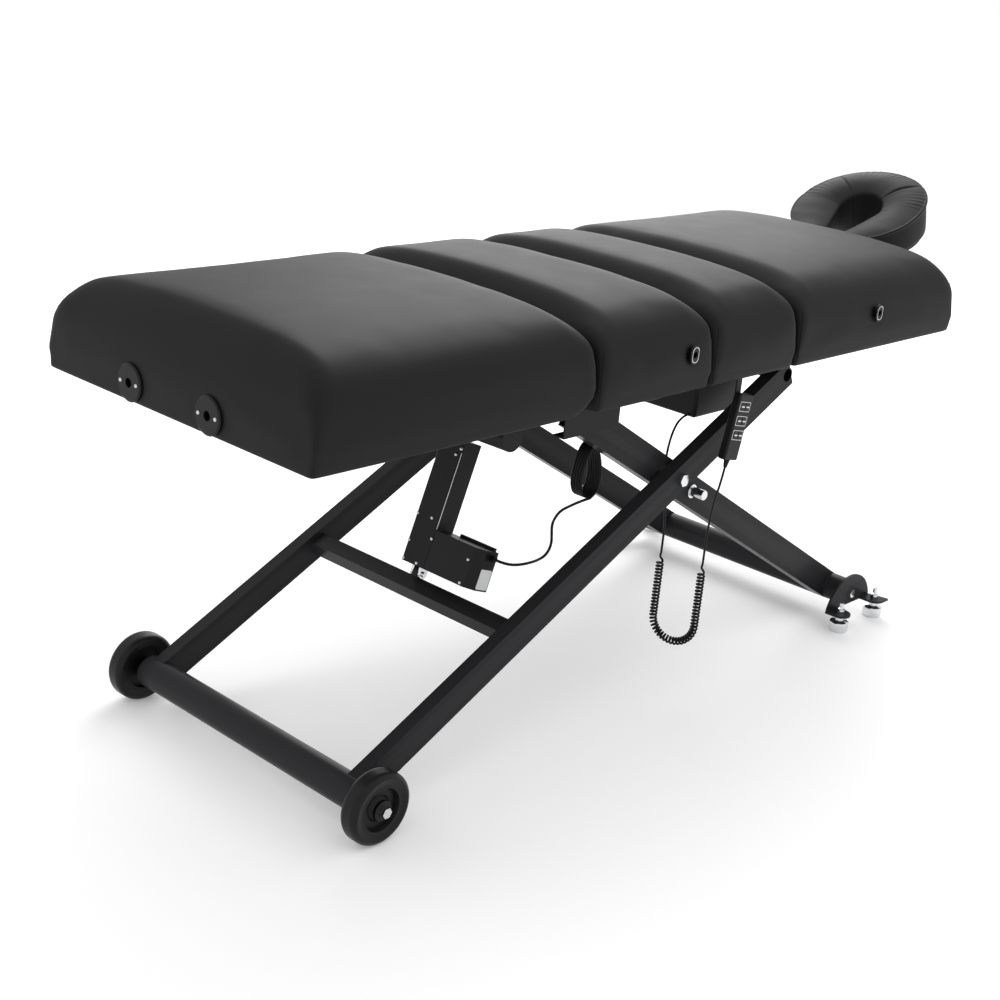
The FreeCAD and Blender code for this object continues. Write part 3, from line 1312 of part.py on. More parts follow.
def hank(turn):
    """Point of the hank, from the bottom of its first loop; the loops narrow towards the top."""
    angle = 2 * math.pi * (turn - 0.25)
    width = s.hank_width / 2 * (1 - s.hank_taper * math.sin(angle))
    return Vector(s.hank_x + width * math.cos(angle), s.hank_y + s.hank_pitch * turn,
                  s.hank_z + s.hank_height / 2 * math.sin(angle))


CORD_GAP = 0.1
gland = gland_place(s.gland_length)
small_turn = 0.001
hank_in = (hank(small_turn) - hank(-small_turn)).normalize()
hank_out = (hank(hank_turns + small_turn) - hank(hank_turns - small_turn)).normalize()
hank_start = hank(0) - hank_in * CORD_GAP
hank_end = hank(hank_turns) + hank_out * CORD_GAP
LIFT_CABLE = vectors(
    gland, gland + Vector(2, -19, -1), gland + Vector(19, -32, -4), (-276, -206, 346), (-240, -200, 342),
    (-212, -196, 345), (-200, -196, 364), (-207, -199, 388), (-214, -203, 412), (-201, -207, 433),
    hank_start - hank_in * 54 + Vector(0, 2, -4), hank_start - hank_in * 27, hank_start)
CONTROL_CABLE = vectors(
    hank_end, hank_end + hank_out * 25, (-92, -181.5, 550), (-70, -181, 580), (-44, -180, 600),
    (-5, -178, 604), (45, -175, 598), (95, -172, 594), (140, -170, 597), (s.box_x, -168, 604))
cord("lift_cable", runs("lift_cable", LIFT_CABLE), s.cable_radius)
cord("cable_hank", wound("hank", hank, hank_turns, 4, s.cable_radius), s.cable_radius)
cord("control_cable", runs("control_cable", CONTROL_CABLE), s.cable_radius)

# Face cradle

tilt_turn = Rotation(Vector(0, 1, 0), -s.cradle_tilt)


def in_cradle(along, y, up):
    """Point of the cradle from its tilt pin: along the platform, across, and out of it."""
    local = tilt_turn.multVec(Vector(along, 0, up))
    return Vector(cradle_pin.x + local.x, y, cradle_pin.z + local.z)


def cradle_frame():
    """Two pegs, a cross bar and two arms up to the tilt pin."""
    bar_x, thick = head_end + s.cradle_bar_ahead, s.cradle_bar
    peg_start = head_end - s.cradle_depth + 10
    peg_length = bar_x + 5 - peg_start
    pegs = [cylinder(s.socket_bore - s.running_gap, peg_length, at(peg_start, y, socket_height, TO_X))
            for y in (-half_spacing, half_spacing)]
    bar_low_y = -half_spacing - s.cradle_bar_end
    bar = box("Sizes.cradle_bar", -2 * bar_low_y, "Sizes.cradle_bar",
              at(bar_x, bar_low_y, socket_height - thick / 2))
    outline = strap_outline(cradle_pin, s.eye_radius, (bar_x, socket_height), (bar_x + thick, socket_height))
    lows = (s.cradle_arm, -s.cradle_arm - s.plate_thickness)
    arms = [side_plate(outline, "Sizes.plate_thickness", low) for low in lows]
    reach = 1.5 * s.cradle_arm
    return fuse(*pegs, bar, *arms, pin_across("Sizes.pin_radius", cradle_pin, -reach, reach))


node("cradle_frame", cradle_frame())


def ring_sector(edges, height):
    """Part ring about the pad's axis, open towards the table."""
    body, sketch = body_sketch("XZ_Plane")
    sketch.addGeometry(edges)
    feature = body.newObject("PartDesign::Revolution", "Revolution")
    feature.Profile = sketch
    feature.ReferenceAxis = (sketch, ["V_Axis"])
    feature.setExpression("Angle", "360 - Sizes.pad_opening")
    start = Rotation(Vector(0, 0, 1), 180 + s.pad_opening / 2)
    body.Placement = Placement(in_cradle(s.pad_reach, 0, height), tilt_turn * start)
    return body


def cradle_platform():
    """Padded board under the ring with two lugs on the tilt pin."""
    inner, outer, t = s.pad_hole + 12, s.pad_radius - 10, s.cradle_board
    board = ring_sector(polygon([(inner, 0), (outer, 0), (outer, t), (inner, t)]), s.eye_radius)
    base_a, base_b = in_cradle(26, 0, s.eye_radius + t / 2), in_cradle(58, 0, s.eye_radius + t / 2)
    outline = strap_outline(cradle_pin, s.eye_radius - 2, (base_a.x, base_a.z), (base_b.x, base_b.z))
    inside = s.cradle_arm + s.plate_thickness + s.face_gap
    drill = (s.pin_radius + s.running_gap, cradle_pin)
    lugs = [side_plate(outline, "Sizes.plate_thickness", low, [drill])
            for low in (inside, -inside - s.plate_thickness)]
    return fuse(board, *lugs)


def cradle_pad():
    """Ring pad with a flat underside, a straight outer band and a full rounded top."""
    inner, outer, tall = s.pad_hole, s.pad_radius, s.pad_height
    crown = ((inner + outer) / 2 + 8, tall)
    band, lip = (outer, tall * 0.5), (inner, tall * 0.42)
    foot_out, foot_in = (outer - 4, 0), (inner + 6, 0)
    outline = [line(foot_in, foot_out), line(foot_out, band), arc(band, (outer - 14, tall * 0.86), crown),
               arc(crown, (inner + 12, tall * 0.8), lip), line(lip, foot_in)]
    return ring_sector(outline, s.eye_radius + s.cradle_board)


node("cradle_platform", cradle_platform())
node("cradle_pad", cradle_pad())

# Finish: origin on the floor under the middle of the whole length, then one file per sub-part

doc.recompute()
for feature in doc.Objects:
    if "Invalid" in feature.State or "Error" in feature.State:
        raise RuntimeError(f"{feature.Label} failed: {feature.State}")
for label, feature in nodes.items():
    if feature.Shape.isNull() or not feature.Shape.isValid() or not feature.Shape.Solids:
        raise RuntimeError(f"{label} has no valid solid")

CORDS = ("lift_cable", "handset_cord", "cable_hank", "control_cable")
boxes = [feature.Shape.BoundBox for label, feature in nodes.items() if label not in CORDS]
middle_x = (min(b.XMin for b in boxes) + max(b.XMax for b in boxes)) / 2
os.makedirs("parts", exist_ok=True)
for label, feature in nodes.items():
    shape = feature.Shape.copy()
    shape.translate(Vector(-middle_x, 0, 0))
    shape.exportStep(f"parts/{label}.step")
print(len(nodes), "sub-parts, middle at", round(middle_x, 3))
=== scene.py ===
# %% [markdown]
# This lesson dresses an electric-lift treatment table. The steel and the plastic come from the CAD model as
# they are, and get their finishes here. The upholstery and the cords are soft, so they are made again in
# Blender.

# %% Load the CAD model as a fixed frame
import math

import bmesh
import bpy
from mathutils import Matrix, Vector, noise
from mathutils.bvhtree import BVHTree


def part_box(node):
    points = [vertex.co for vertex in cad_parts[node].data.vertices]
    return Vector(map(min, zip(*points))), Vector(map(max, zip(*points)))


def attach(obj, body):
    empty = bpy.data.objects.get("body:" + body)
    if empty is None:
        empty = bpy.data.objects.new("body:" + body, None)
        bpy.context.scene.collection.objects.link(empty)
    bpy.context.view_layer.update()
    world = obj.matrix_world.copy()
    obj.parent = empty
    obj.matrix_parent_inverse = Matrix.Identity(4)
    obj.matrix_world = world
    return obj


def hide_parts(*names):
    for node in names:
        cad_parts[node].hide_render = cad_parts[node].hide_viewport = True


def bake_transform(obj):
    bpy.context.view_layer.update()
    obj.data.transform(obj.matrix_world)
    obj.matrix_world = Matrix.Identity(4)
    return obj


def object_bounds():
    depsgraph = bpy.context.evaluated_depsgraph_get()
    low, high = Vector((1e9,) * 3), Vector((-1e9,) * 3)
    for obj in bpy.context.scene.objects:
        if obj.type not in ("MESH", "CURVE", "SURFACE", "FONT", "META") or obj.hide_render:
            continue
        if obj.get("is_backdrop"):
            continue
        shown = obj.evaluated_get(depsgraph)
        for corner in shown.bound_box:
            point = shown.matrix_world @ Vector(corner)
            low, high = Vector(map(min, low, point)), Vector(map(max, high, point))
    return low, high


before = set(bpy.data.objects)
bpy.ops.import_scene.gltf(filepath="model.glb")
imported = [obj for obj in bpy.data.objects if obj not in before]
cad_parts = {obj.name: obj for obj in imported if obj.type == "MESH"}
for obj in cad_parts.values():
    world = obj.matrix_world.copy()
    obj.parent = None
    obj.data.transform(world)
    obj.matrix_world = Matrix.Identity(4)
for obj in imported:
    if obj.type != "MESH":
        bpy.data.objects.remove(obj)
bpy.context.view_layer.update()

# %% [markdown]
# All drawings of this table count millimetres along it from the middle of its top. The shared frame counts
# metres from the middle of the whole length, with the face cradle on. One function takes a place from the
# first to the second, so the numbers below can be read against a drawing. Another links a new object into
# the scene, because Blender shows only what is linked.

# %% Places on the table
MIDDLE = 139.704
SCISSOR_PIVOT = (61, 0, 468)


def spot(x, y, z):
    """A place on the drawing in millimetres, as a point of the shared frame in metres."""
    return Vector(((x - MIDDLE) / 1000, y / 1000, z / 1000))


def in_scene(name, data):
    """A new object for a mesh, curve, light or camera, linked into the scene."""
    piece = bpy.data.objects.new(name, data)
    bpy.context.scene.collection.objects.link(piece)
    return piece


print("scissor pivot at", spot(*SCISSOR_PIVOT))

# %% [markdown]
# The photograph was taken from the foot end on the near side, a little above the top. Its lens and place
# were worked out from the table's straight edges, so the camera is set by its three axes and not by eye.

# %% Camera
SENSOR_WIDTH = 36.0
LENS = 58.80
CAMERA_PLACE = (-2388.84, -1996.85, 1452.76)
VIEW_WAY = Vector((0.7050, 0.6244, -0.3364))
RIGHT_WAY = Vector((0.6836, -0.7245, 0.0880))
camera_data = bpy.data.cameras.new("studio_camera")
camera_data.sensor_width = SENSOR_WIDTH
camera_data.lens = LENS
camera = in_scene("studio_camera", camera_data)
forward = VIEW_WAY.normalized()
across = (RIGHT_WAY - forward * RIGHT_WAY.dot(forward)).normalized()
upward = across.cross(forward)
axes = Matrix((across, upward, -forward)).transposed().to_4x4()
camera.matrix_world = Matrix.Translation(spot(*CAMERA_PLACE)) @ axes
bpy.context.scene.camera = camera
print("camera at", camera.location, "lens", camera_data.lens)

# %% [markdown]
# A cord is a curve with a round bevel. A NURBS spline of order 3 runs smoothly past its control points, as
# a flexible lead does, so the route needs few points. The order is set after the points, because Blender
# lowers it while the spline is still short. The bevel is one metre and each point's radius scales it down
# to the cord's own, because Blender counts those radii in the curve's bounding box.


def round_cord(name, route, radius):
    """A curve with a round bevel along a route of points."""
    data = bpy.data.curves.new(name, "CURVE")
    data.dimensions = "3D"
    data.bevel_depth = 1.0
    data.bevel_resolution = 4
    data.resolution_u = 3
    data.use_fill_caps = True
    spline = data.splines.new("NURBS")
    spline.points.add(len(route) - 1)
    for control, place in zip(spline.points, route):
        control.co = (*place, 1)
        control.radius = radius
    spline.order_u = 3
    spline.use_endpoint_u = True
    print(name, "control points", len(route))
    return in_scene(name, data)


def lead(name, route, radius, body, node=None):
    """A cord that rides on one body, in place of a CAD solid where it has one."""
    piece = round_cord(name, route, radius)
    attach(piece, body)
    if node:
        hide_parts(node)
    return piece


def lead_across(name, route, radius, node=None):
    """A cord as one fixed mesh in the shared frame, in place of a CAD solid where it has one."""
    curve = round_cord(name + "_line", route, radius)
    shape = curve.evaluated_get(bpy.context.evaluated_depsgraph_get())
    mesh = bpy.data.meshes.new_from_object(shape)
    bpy.data.objects.remove(curve)
    piece = in_scene(name, mesh)
    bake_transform(piece)
    if node:
        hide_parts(node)
    return piece


# %% [markdown]
# The handset's lead is a spring of PVC cord between two plain ends. It hangs from the control box in a deep
# loop. The turns are worked out along the loop's middle line: straight down, half a circle, straight up.
# The first and last turn open out so that the spring runs into the plain ends without a kink.

# %% Curly handset cord
LOOP_TOP, LOOP_BOTTOM = 282, 98
CURLS = 54
CURL_RADIUS = 6.4
CURL_EASE = 18
POINTS_PER_TURN = 12
HANDSET_CORD = 0.0023
UP = Vector((0, 0, 1))
box_side = Vector((128, -212, LOOP_TOP))
hand_side = Vector((148, -301, LOOP_TOP))
loop_way = (hand_side - box_side).normalized()
loop_radius = (hand_side - box_side).length / 2
loop_leg = LOOP_TOP - LOOP_BOTTOM - loop_radius
loop_normal = loop_way.cross(UP)
curl_pitch = (2 * loop_leg + math.pi * loop_radius - 2 * CURL_EASE) / CURLS


def hanging_loop(distance):
    """Point and direction of the loop's middle line."""
    turn = min(max((distance - loop_leg) / loop_radius, 0), math.pi)
    over = distance - loop_leg - turn * loop_radius
    way = loop_way * math.sin(turn) - UP * math.cos(turn)
    bend = (box_side + hand_side) / 2 - UP * loop_leg
    point = bend - (loop_way * math.cos(turn) + UP * math.sin(turn)) * loop_radius
    return point + way * over, way


def curl(turn):
    """Point of the spring after some turns."""
    first, last = min(max(turn, 0), 1), min(max(CURLS - turn, 0), 1)
    distance = curl_pitch * turn + CURL_EASE * (1 - (1 - first) ** 2 + (1 - last) ** 2)
    near_end = min(first, last)
    radius = CURL_RADIUS * near_end ** 2 * (3 - 2 * near_end)
    point, way = hanging_loop(distance)
    angle = 2 * math.pi * turn
    return point + (loop_normal * math.cos(angle) + way.cross(loop_normal) * math.sin(angle)) * radius


FROM_BOX = ((180, -196, 556), (160, -197, 554), (136, -200, 540), (116, -205, 510), (106, -209, 470),
            (108, -211, 428), (118, -212, 388), (126, -212, 350), (128, -212, 318))
TO_HANDSET = ((148, -301, 318), (146, -303, 350), (140, -309, 386), (130, -319, 418), (118.85, -336, 468.96),
              (124.67, -336, 496.35))
turns = [curl(step / POINTS_PER_TURN) for step in range(CURLS * POINTS_PER_TURN + 1)]
cord_route = [spot(*place) for place in (*FROM_BOX, *turns, *TO_HANDSET)]
handset_lead = lead("handset_lead", cord_route, HANDSET_CORD, "top_frame", "handset_cord")

# %% [markdown]
# The lift motor's cable leaves its gland, wanders up to the near inner tube and ends in a hank of five
# loops. From the hank one strand goes on to the control box. The hank narrows towards its top, where it is
# tied. When the table rises, the motor, the hank and the box move apart. The strands between them are fixed
# meshes in the shared frame and do not follow the joints.

# %% Cable hank
CABLE = 0.0026
HANK_TURNS = 5.25
HANK_STEPS = 70
HANK_X, HANK_Y, HANK_Z = -122, -212, 496
HANK_HALF_WIDTH, HANK_HALF_HEIGHT = 25, 52
HANK_NARROWING = 0.3
STRAND_PITCH = 5.8


def hank(turn):
    """Point of the hank, counted from the bottom of its first loop."""
    angle = 2 * math.pi * (turn - 0.25)
    width = HANK_HALF_WIDTH * (1 - HANK_NARROWING * math.sin(angle))
    return (HANK_X + width * math.cos(angle), HANK_Y + STRAND_PITCH * turn,
            HANK_Z + HANK_HALF_HEIGHT * math.sin(angle))


hank_route = [spot(*hank(HANK_TURNS * step / HANK_STEPS)) for step in range(HANK_STEPS + 1)]
hank_lead = lead("hank_lead", hank_route, CABLE, "inner_frame", "cable_hank")

# %% Motor cable and control cable
MOTOR_CABLE = ((-327.18, -173, 353.64), (-325.18, -192, 352.64), (-308.18, -205, 349.64), (-276, -206, 346),
               (-240, -200, 342), (-212, -196, 345), (-200, -196, 364), (-207, -199, 388), (-214, -203, 412),
               (-201, -207, 433), (-176.1, -211.5, 440), (-149.1, -212.8, 444), (-122.1, -212, 444))
CONTROL_CABLE = ((-97, -181.55, 496.1), (-100.6, -181.1, 520.8), (-92, -181.5, 550), (-70, -181, 580),
                 (-44, -180, 600), (-24.5, -179, 602))
BOX_CABLE = ((-24.5, -179, 602), (-5, -178, 604), (45, -175, 598), (95, -172, 594), (140, -170, 597),
             (180, -168, 604))
motor_route = [spot(*place) for place in MOTOR_CABLE]
control_route = [spot(*place) for place in CONTROL_CABLE]
box_route = [spot(*place) for place in BOX_CABLE]
motor_lead = lead_across("motor_lead", motor_route, CABLE,
                         "lift_cable")
control_lead = lead_across("control_lead", control_route, CABLE,
                           "control_cable")
box_lead = lead_across("box_lead", box_route, CABLE)

# %% [markdown]
# Finishes come next. Screen colours are written as sRGB hex values, and Blender's shaders count in linear
# light, so one function turns the first into the second. Another adds a shader node with its settings and
# links. Every pattern is laid in the object's own coordinates, in metres, so its scale is one over its
# size. Three more functions let a pattern change a finish: its colour, its gloss or its relief.

# %% Colour and node helpers


def ink(code):
    """An sRGB hex colour as linear red, green, blue and alpha."""
    parts = [int(code[i:i + 2], 16) / 255 for i in (1, 3, 5)]
    return (*[c / 12.92 if c <= 0.04045 else ((c + 0.055) / 1.055) ** 2.4 for c in parts], 1)


def add_node(tree, kind, settings=None, links=None):
    """One shader node with its sockets and properties set and its inputs linked."""
    made = tree.nodes.new(kind)
    for key, value in (settings or {}).items():
        if key in made.inputs:
            made.inputs[key].default_value = value
        else:
            setattr(made, key, value)
    for key, source in (links or {}).items():
        tree.links.new(source, made.inputs[key])
    return made


def principled(material):
    """A material's main shader node."""
    return material.node_tree.nodes["Principled BSDF"]


def new_finish(name, **sockets):
    """A material with its shader's sockets set, and a node for the object's coordinates."""
    material = bpy.data.materials.new(name)
    material.use_nodes = True
    for key, value in sockets.items():
        principled(material).inputs[key.replace("_", " ")].default_value = value
    add_node(material.node_tree, "ShaderNodeTexCoord", {"name": "place"})
    return material


# %% Patterns


def texture(material, kind, size, **settings):
    """A texture node whose pattern repeats at a size in millimetres."""
    place = material.node_tree.nodes["place"].outputs["Object"]
    return add_node(material.node_tree, kind, {"Scale": 1000 / size, **settings}, {"Vector": place})


def cloud(material, size, detail, roughness=0.5):
    """Soft noise."""
    return texture(material, "ShaderNodeTexNoise", size, Detail=detail, Roughness=roughness).outputs["Fac"]


def cells(material, size, feature="F1"):
    """Small cells, each rising from its middle."""
    return texture(material, "ShaderNodeTexVoronoi", size, feature=feature).outputs["Distance"]


def vary_tone(material, pattern, dark, light):
    """Mixes the colour from two by a pattern."""
    tone = add_node(material.node_tree, "ShaderNodeMix", {"data_type": "RGBA"}, {"Factor": pattern})
    tone.inputs["A"].default_value = ink(dark)
    tone.inputs["B"].default_value = ink(light)
    material.node_tree.links.new(tone.outputs["Result"], principled(material).inputs["Base Color"])


def vary_gloss(material, pattern, low, high):
    """Lets the roughness wander between two values by a pattern."""
    gloss = add_node(material.node_tree, "ShaderNodeMapRange", {"To Min": low, "To Max": high},
                     {"Value": pattern})
    material.node_tree.links.new(gloss.outputs["Result"], principled(material).inputs["Roughness"])


def emboss(material, pattern, strength, depth):
    """Raises the surface by a pattern, over any relief that it already has."""
    normal = principled(material).inputs["Normal"]
    links = {"Height": pattern}
    if normal.is_linked:
        links["Normal"] = normal.links[0].from_socket
    bump = add_node(material.node_tree, "ShaderNodeBump", {"Strength": strength, "Distance": depth}, links)
    material.node_tree.links.new(bump.outputs["Normal"], normal)


# %% [markdown]
# The upholstery is PVC leather: cloth coated with soft PVC and embossed with a fine grain by a heated roll.
# It is nearly black, and its smooth plasticised skin gives a broad, soft sheen. The real pebbles are under
# a millimetre, too fine to show here, so they are drawn at 1.8 mm. Slow waves of 90 mm stand for foam under
# it.

# %% PVC leather
vinyl = new_finish("pvc_leather_black", Specular_IOR_Level=0.2, IOR=1.5)
mottle = cloud(vinyl, size=70, detail=4, roughness=0.55)
vary_tone(vinyl, mottle, dark="#0c0c0d", light="#111112")
vary_gloss(vinyl, mottle, low=0.56, high=0.64)
emboss(vinyl, cells(vinyl, size=1.8, feature="SMOOTH_F1"), strength=0.10, depth=0.0004)
emboss(vinyl, cloud(vinyl, size=90, detail=2), strength=0.08, depth=0.004)
print("finish", vinyl.name)

# %% [markdown]
# The side tubes, the cross tubes and the lift column are powder-coated: a charged powder melted in an oven
# to a thick, glossy black skin. It flows into a faint orange-peel of a few millimetres. Its sharp edges are
# painted a lighter grey: a painted highlight where the edges catch the light.

# %% Powder coat
powder = new_finish("powder_coat_black", Specular_IOR_Level=0.06, IOR=1.5)
# Sharp edges are painted lighter: a painted highlight, not a change in the coat.
edge = add_node(powder.node_tree, "ShaderNodeNewGeometry").outputs["Pointiness"]
edge_highlight = add_node(powder.node_tree, "ShaderNodeMapRange", {"From Min": 0.52, "From Max": 0.62},
                {"Value": edge})
vary_tone(powder, edge_highlight.outputs["Result"], dark="#040405", light="#2c2c2e")
vary_gloss(powder, cloud(powder, size=120, detail=3), low=0.24, high=0.38)
emboss(powder, cloud(powder, size=5, detail=1), strength=0.06, depth=0.0006)
print("finish", powder.name)

# %% [markdown]
# Two metals and a paint follow. Chrome plate is bright and sharp with the faint swirl of the polishing
# wheel. Zinc plate on screws is duller. Brackets have a satin black stove enamel that hides their welds.

# %% Chrome, zinc and stove enamel
chrome = new_finish("chrome_plate", Base_Color=ink("#d9dadc"), Metallic=1.0, Roughness=0.1)
vary_gloss(chrome, cloud(chrome, size=3, detail=3), low=0.06, high=0.16)
zinc = new_finish("zinc_plate", Base_Color=ink("#c9cbcd"), Metallic=1.0, Roughness=0.3)
vary_gloss(zinc, cells(zinc, size=1.5), low=0.22, high=0.4)
enamel = new_finish("stove_enamel_black", Base_Color=ink("#080809"), Specular_IOR_Level=0.18)
brush = cloud(enamel, size=4, detail=2)
vary_gloss(enamel, brush, low=0.38, high=0.52)
emboss(enamel, brush, strength=0.08, depth=0.0005)
print("finishes", chrome.name, zinc.name, enamel.name)

# %% [markdown]
# The motor, control box, handset and socket plates are moulded ABS. The mould is spark-eroded, which leaves
# a fine even matt of about 0.3 mm, drawn at 0.9 mm so that it shows. The buttons are silicone rubber,
# softer and duller. The rollers are nylon, and the wheels have grey-black polyurethane treads with scuffs.
# The cables have a drawn PVC sheath.

# %% Moulded plastics and rubber
abs_black = new_finish("abs_moulded_black", Base_Color=ink("#0a0a0b"), Roughness=0.42,
                       Specular_IOR_Level=0.2, IOR=1.53)
emboss(abs_black, cloud(abs_black, size=0.9, detail=2), strength=0.12, depth=0.0003)
silicone = new_finish("silicone_rubber_black", Base_Color=ink("#1b1b1c"), Roughness=0.62)
vary_gloss(silicone, cloud(silicone, size=6, detail=3), low=0.55, high=0.72)
nylon = new_finish("nylon_cast", Base_Color=ink("#33343a"), Roughness=0.4, IOR=1.53)
emboss(nylon, cloud(nylon, size=2, detail=1), strength=0.1, depth=0.0003)
tread = new_finish("polyurethane_tread", Roughness=0.4, Specular_IOR_Level=0.2)
vary_tone(tread, cloud(tread, size=14, detail=5), dark="#0c0c0d", light="#171718")
cable_pvc = new_finish("cable_pvc_black", Base_Color=ink("#060607"), Specular_IOR_Level=0.2)
vary_gloss(cable_pvc, cloud(cable_pvc, size=8, detail=2), low=0.36, high=0.5)
print("finishes", abs_black.name, silicone.name, nylon.name, tread.name, cable_pvc.name)

# %% [markdown]
# Each CAD node takes one finish. A node keeps its mesh, and only its material slots change.

# %% Finishes on the CAD nodes
FINISHES = {
    powder: ("inner_tube_near", "inner_tube_far", "outer_tube_near", "outer_tube_far", "lower_cross_tube",
             "wheel_cross_tube", "mid_rail", "upper_cross_tube", "foot_near", "foot_far", "lift_column"),
    enamel: ("top_pivots", "top_rail_near", "top_rail_far", "cross_ties", "roller_channels", "hinge_ears",
             "leg_brackets", "back_brackets", "handset_hook", "leg_actuator", "back_actuator",
             "cradle_frame"),
    chrome: ("pivot_bolts", "stop_pegs", "glides", "wing_nuts", "wheel_axles", "lift_fork", "lift_rod",
             "leg_rod", "back_rod"),
    abs_black: ("lift_motor", "control_box", "handset", "foot_sockets", "seat_sockets", "back_sockets",
                "cradle_sockets", "hub_near", "hub_far"),
    silicone: tuple(f"button_{row}_{side}" for row in (1, 2, 3) for side in ("left", "right")),
    nylon: ("slide_rollers",),
    tread: ("tyre_near", "tyre_far"),
    vinyl: ("cradle_platform", "leg_cushion", "seat_cushion", "middle_cushion", "back_cushion",
            "cradle_pad"),
    cable_pvc: ("handset_cord", "cable_hank", "lift_cable", "control_cable"),
}
dressed = 0
for finish, names in FINISHES.items():
    for name in names:
        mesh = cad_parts[name].data
        mesh.materials.clear()
        mesh.materials.append(finish)
        dressed += 1
for piece in (handset_lead, motor_lead, hank_lead, control_lead, box_lead):
    piece.data.materials.append(cable_pvc)
print("nodes with a finish", dressed, "of", len(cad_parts))

# %% [markdown]
# The four sections are foam on a board, covered with PVC leather that is stapled underneath. The CAD solid
# has the right form but a drawing's crispness. A copy of it is remeshed to an even net, its upper edges are
# softened, and it is blown up a little as cloth under air pressure, with the underside pinned as the
# staples do, so the cover swells between its seams.

# %% Net helpers
NET = 0.007
EASE_PASSES = 3
SOFT_PASSES = 45
SOFT_FOOT, SOFT_HEAD = 0.03, 0.05


def ramp(value, start, end):
    """A smooth step from 0 to 1 between two values."""
    share = min(max((value - start) / (end - start), 0), 1)
    return share * share * (3 - 2 * share)


def shade_smooth(piece):
    """Shades a piece as one smooth skin."""
    for face in piece.data.polygons:
        face.use_smooth = True


def add_smoothing(piece, passes, group=""):
    """Moves the points of a net towards their neighbours, as far as a vertex group lets them."""
    smooth = piece.modifiers.new("smooth", "SMOOTH")
    smooth.factor = 0.5
    smooth.iterations = passes
    smooth.vertex_group = group


def settle(piece):
    """Makes a piece's modifiers part of its mesh."""
    shape = piece.evaluated_get(bpy.context.evaluated_depsgraph_get())
    mesh = bpy.data.meshes.new_from_object(shape)
    piece.modifiers.clear()
    piece.data = mesh


def net_of(node, name):
    """A new object with the CAD node's form as an even quad net."""
    piece = in_scene(name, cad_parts[node].data.copy())
    remesh = piece.modifiers.new("net", "REMESH")
    remesh.mode = "VOXEL"
    remesh.voxel_size = NET
    add_smoothing(piece, EASE_PASSES)
    settle(piece)
    piece.data.materials.clear()
    piece.data.materials.append(vinyl)
    shade_smooth(piece)
    return piece


def soften(piece, low, high):
    """Rounds the upper edges of a net and leaves the stapled lower edges crisp."""
    soft = piece.vertex_groups.new(name="soft")
    for vertex in piece.data.vertices:
        soft.add([vertex.index], ramp(vertex.co.z, low.z + SOFT_FOOT, high.z - SOFT_HEAD), "REPLACE")
    add_smoothing(piece, SOFT_PASSES, "soft")
    settle(piece)


# %% Cushion covers: even nets
SKIN = 0.025
TOP_SKIN = 0.045
STAPLE_BAND = 0.012
COVERS = (("leg_cushion", "leg_section"), ("seat_cushion", "top_frame"), ("middle_cushion", "top_frame"),
          ("back_cushion", "back_section"))
covers = []
for node, body in COVERS:
    cover = net_of(node, node.replace("cushion", "cover"))
    low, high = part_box(node)
    soften(cover, low, high)
    stapled = cover.vertex_groups.new(name="stapled")
    held = []
    for vertex in cover.data.vertices:
        x, y, z = vertex.co
        at_end = x < low.x + SKIN or x > high.x - SKIN
        outside = at_end or abs(y) > high.y - SKIN or z > high.z - TOP_SKIN
        if not outside or z < low.z + STAPLE_BAND:
            held.append(vertex.index)
    stapled.add(held, 1.0, "REPLACE")
    covers.append((cover, node, body, low, high))
    print(cover.name, "net", len(cover.data.vertices), "held", len(held))

# %% Cushion covers: air pressure
AIR_FRAMES = 20
EVEN_PASSES = 12
SWELL = {"top": 0.004, "side": 0.003, "gap": 0.001}
SWELL_TOP = 0.05
SWELL_FOOT, SWELL_FULL = 0.01, 0.06


def blow_up(pieces):
    """Runs cloth with air inside on all the pieces at once and returns where their points went."""
    for piece in pieces:
        cloth = piece.modifiers.new("air", "CLOTH")
        cloth.settings.quality = 4
        cloth.settings.mass = 0.4
        cloth.settings.tension_stiffness = 30
        cloth.settings.compression_stiffness = 30
        cloth.settings.shear_stiffness = 12
        cloth.settings.bending_stiffness = 4
        cloth.settings.use_pressure = True
        cloth.settings.uniform_pressure_force = 4
        cloth.settings.effector_weights.gravity = 0
        cloth.settings.vertex_group_mass = "stapled"
        cloth.collision_settings.use_collision = False
    for step in range(1, AIR_FRAMES + 1):
        bpy.context.scene.frame_set(step)
    graph = bpy.context.evaluated_depsgraph_get()
    moved = [[v.co.copy() for v in piece.evaluated_get(graph).data.vertices] for piece in pieces]
    for piece in pieces:
        piece.modifiers.remove(piece.modifiers["air"])
    bpy.context.scene.frame_set(1)
    return moved


def swell_limit(point, node, low, high):
    """How far a point of a cover may swell: least in the gaps between sections, none at the staples."""
    foot_gap = point.x < low.x + SKIN and node != "leg_cushion"
    head_gap = point.x > high.x - SKIN and node != "back_cushion"
    zone = "gap" if foot_gap or head_gap else "top" if point.z > high.z - SWELL_TOP else "side"
    return SWELL[zone] * ramp(point.z, low.z + SWELL_FOOT, low.z + SWELL_FULL)


def evened(mesh, steps):
    """Movements averaged with their neighbours' along the net, so that no dent is left."""
    for _ in range(EVEN_PASSES):
        total = [step.copy() for step in steps]
        count = [1] * len(steps)
        for edge in mesh.edges:
            a, b = edge.vertices
            total[a] += steps[b]
            total[b] += steps[a]
            count[a] += 1
            count[b] += 1
        steps = [step / times for step, times in zip(total, count)]
    return steps


swollen = blow_up([row[0] for row in covers])
for (cover, node, body, low, high), points in zip(covers, swollen):
    steps = []
    for vertex, point in zip(cover.data.vertices, points):
        step = point - vertex.co
        limit = swell_limit(vertex.co, node, low, high)
        steps.append(step * (limit / step.length) if step.length > limit else step)
    steps = evened(cover.data, steps)
    for vertex, step in zip(cover.data.vertices, steps):
        vertex.co += step
    print(cover.name, "swelled by", round(max(step.length for step in steps) * 1000, 1), "mm")

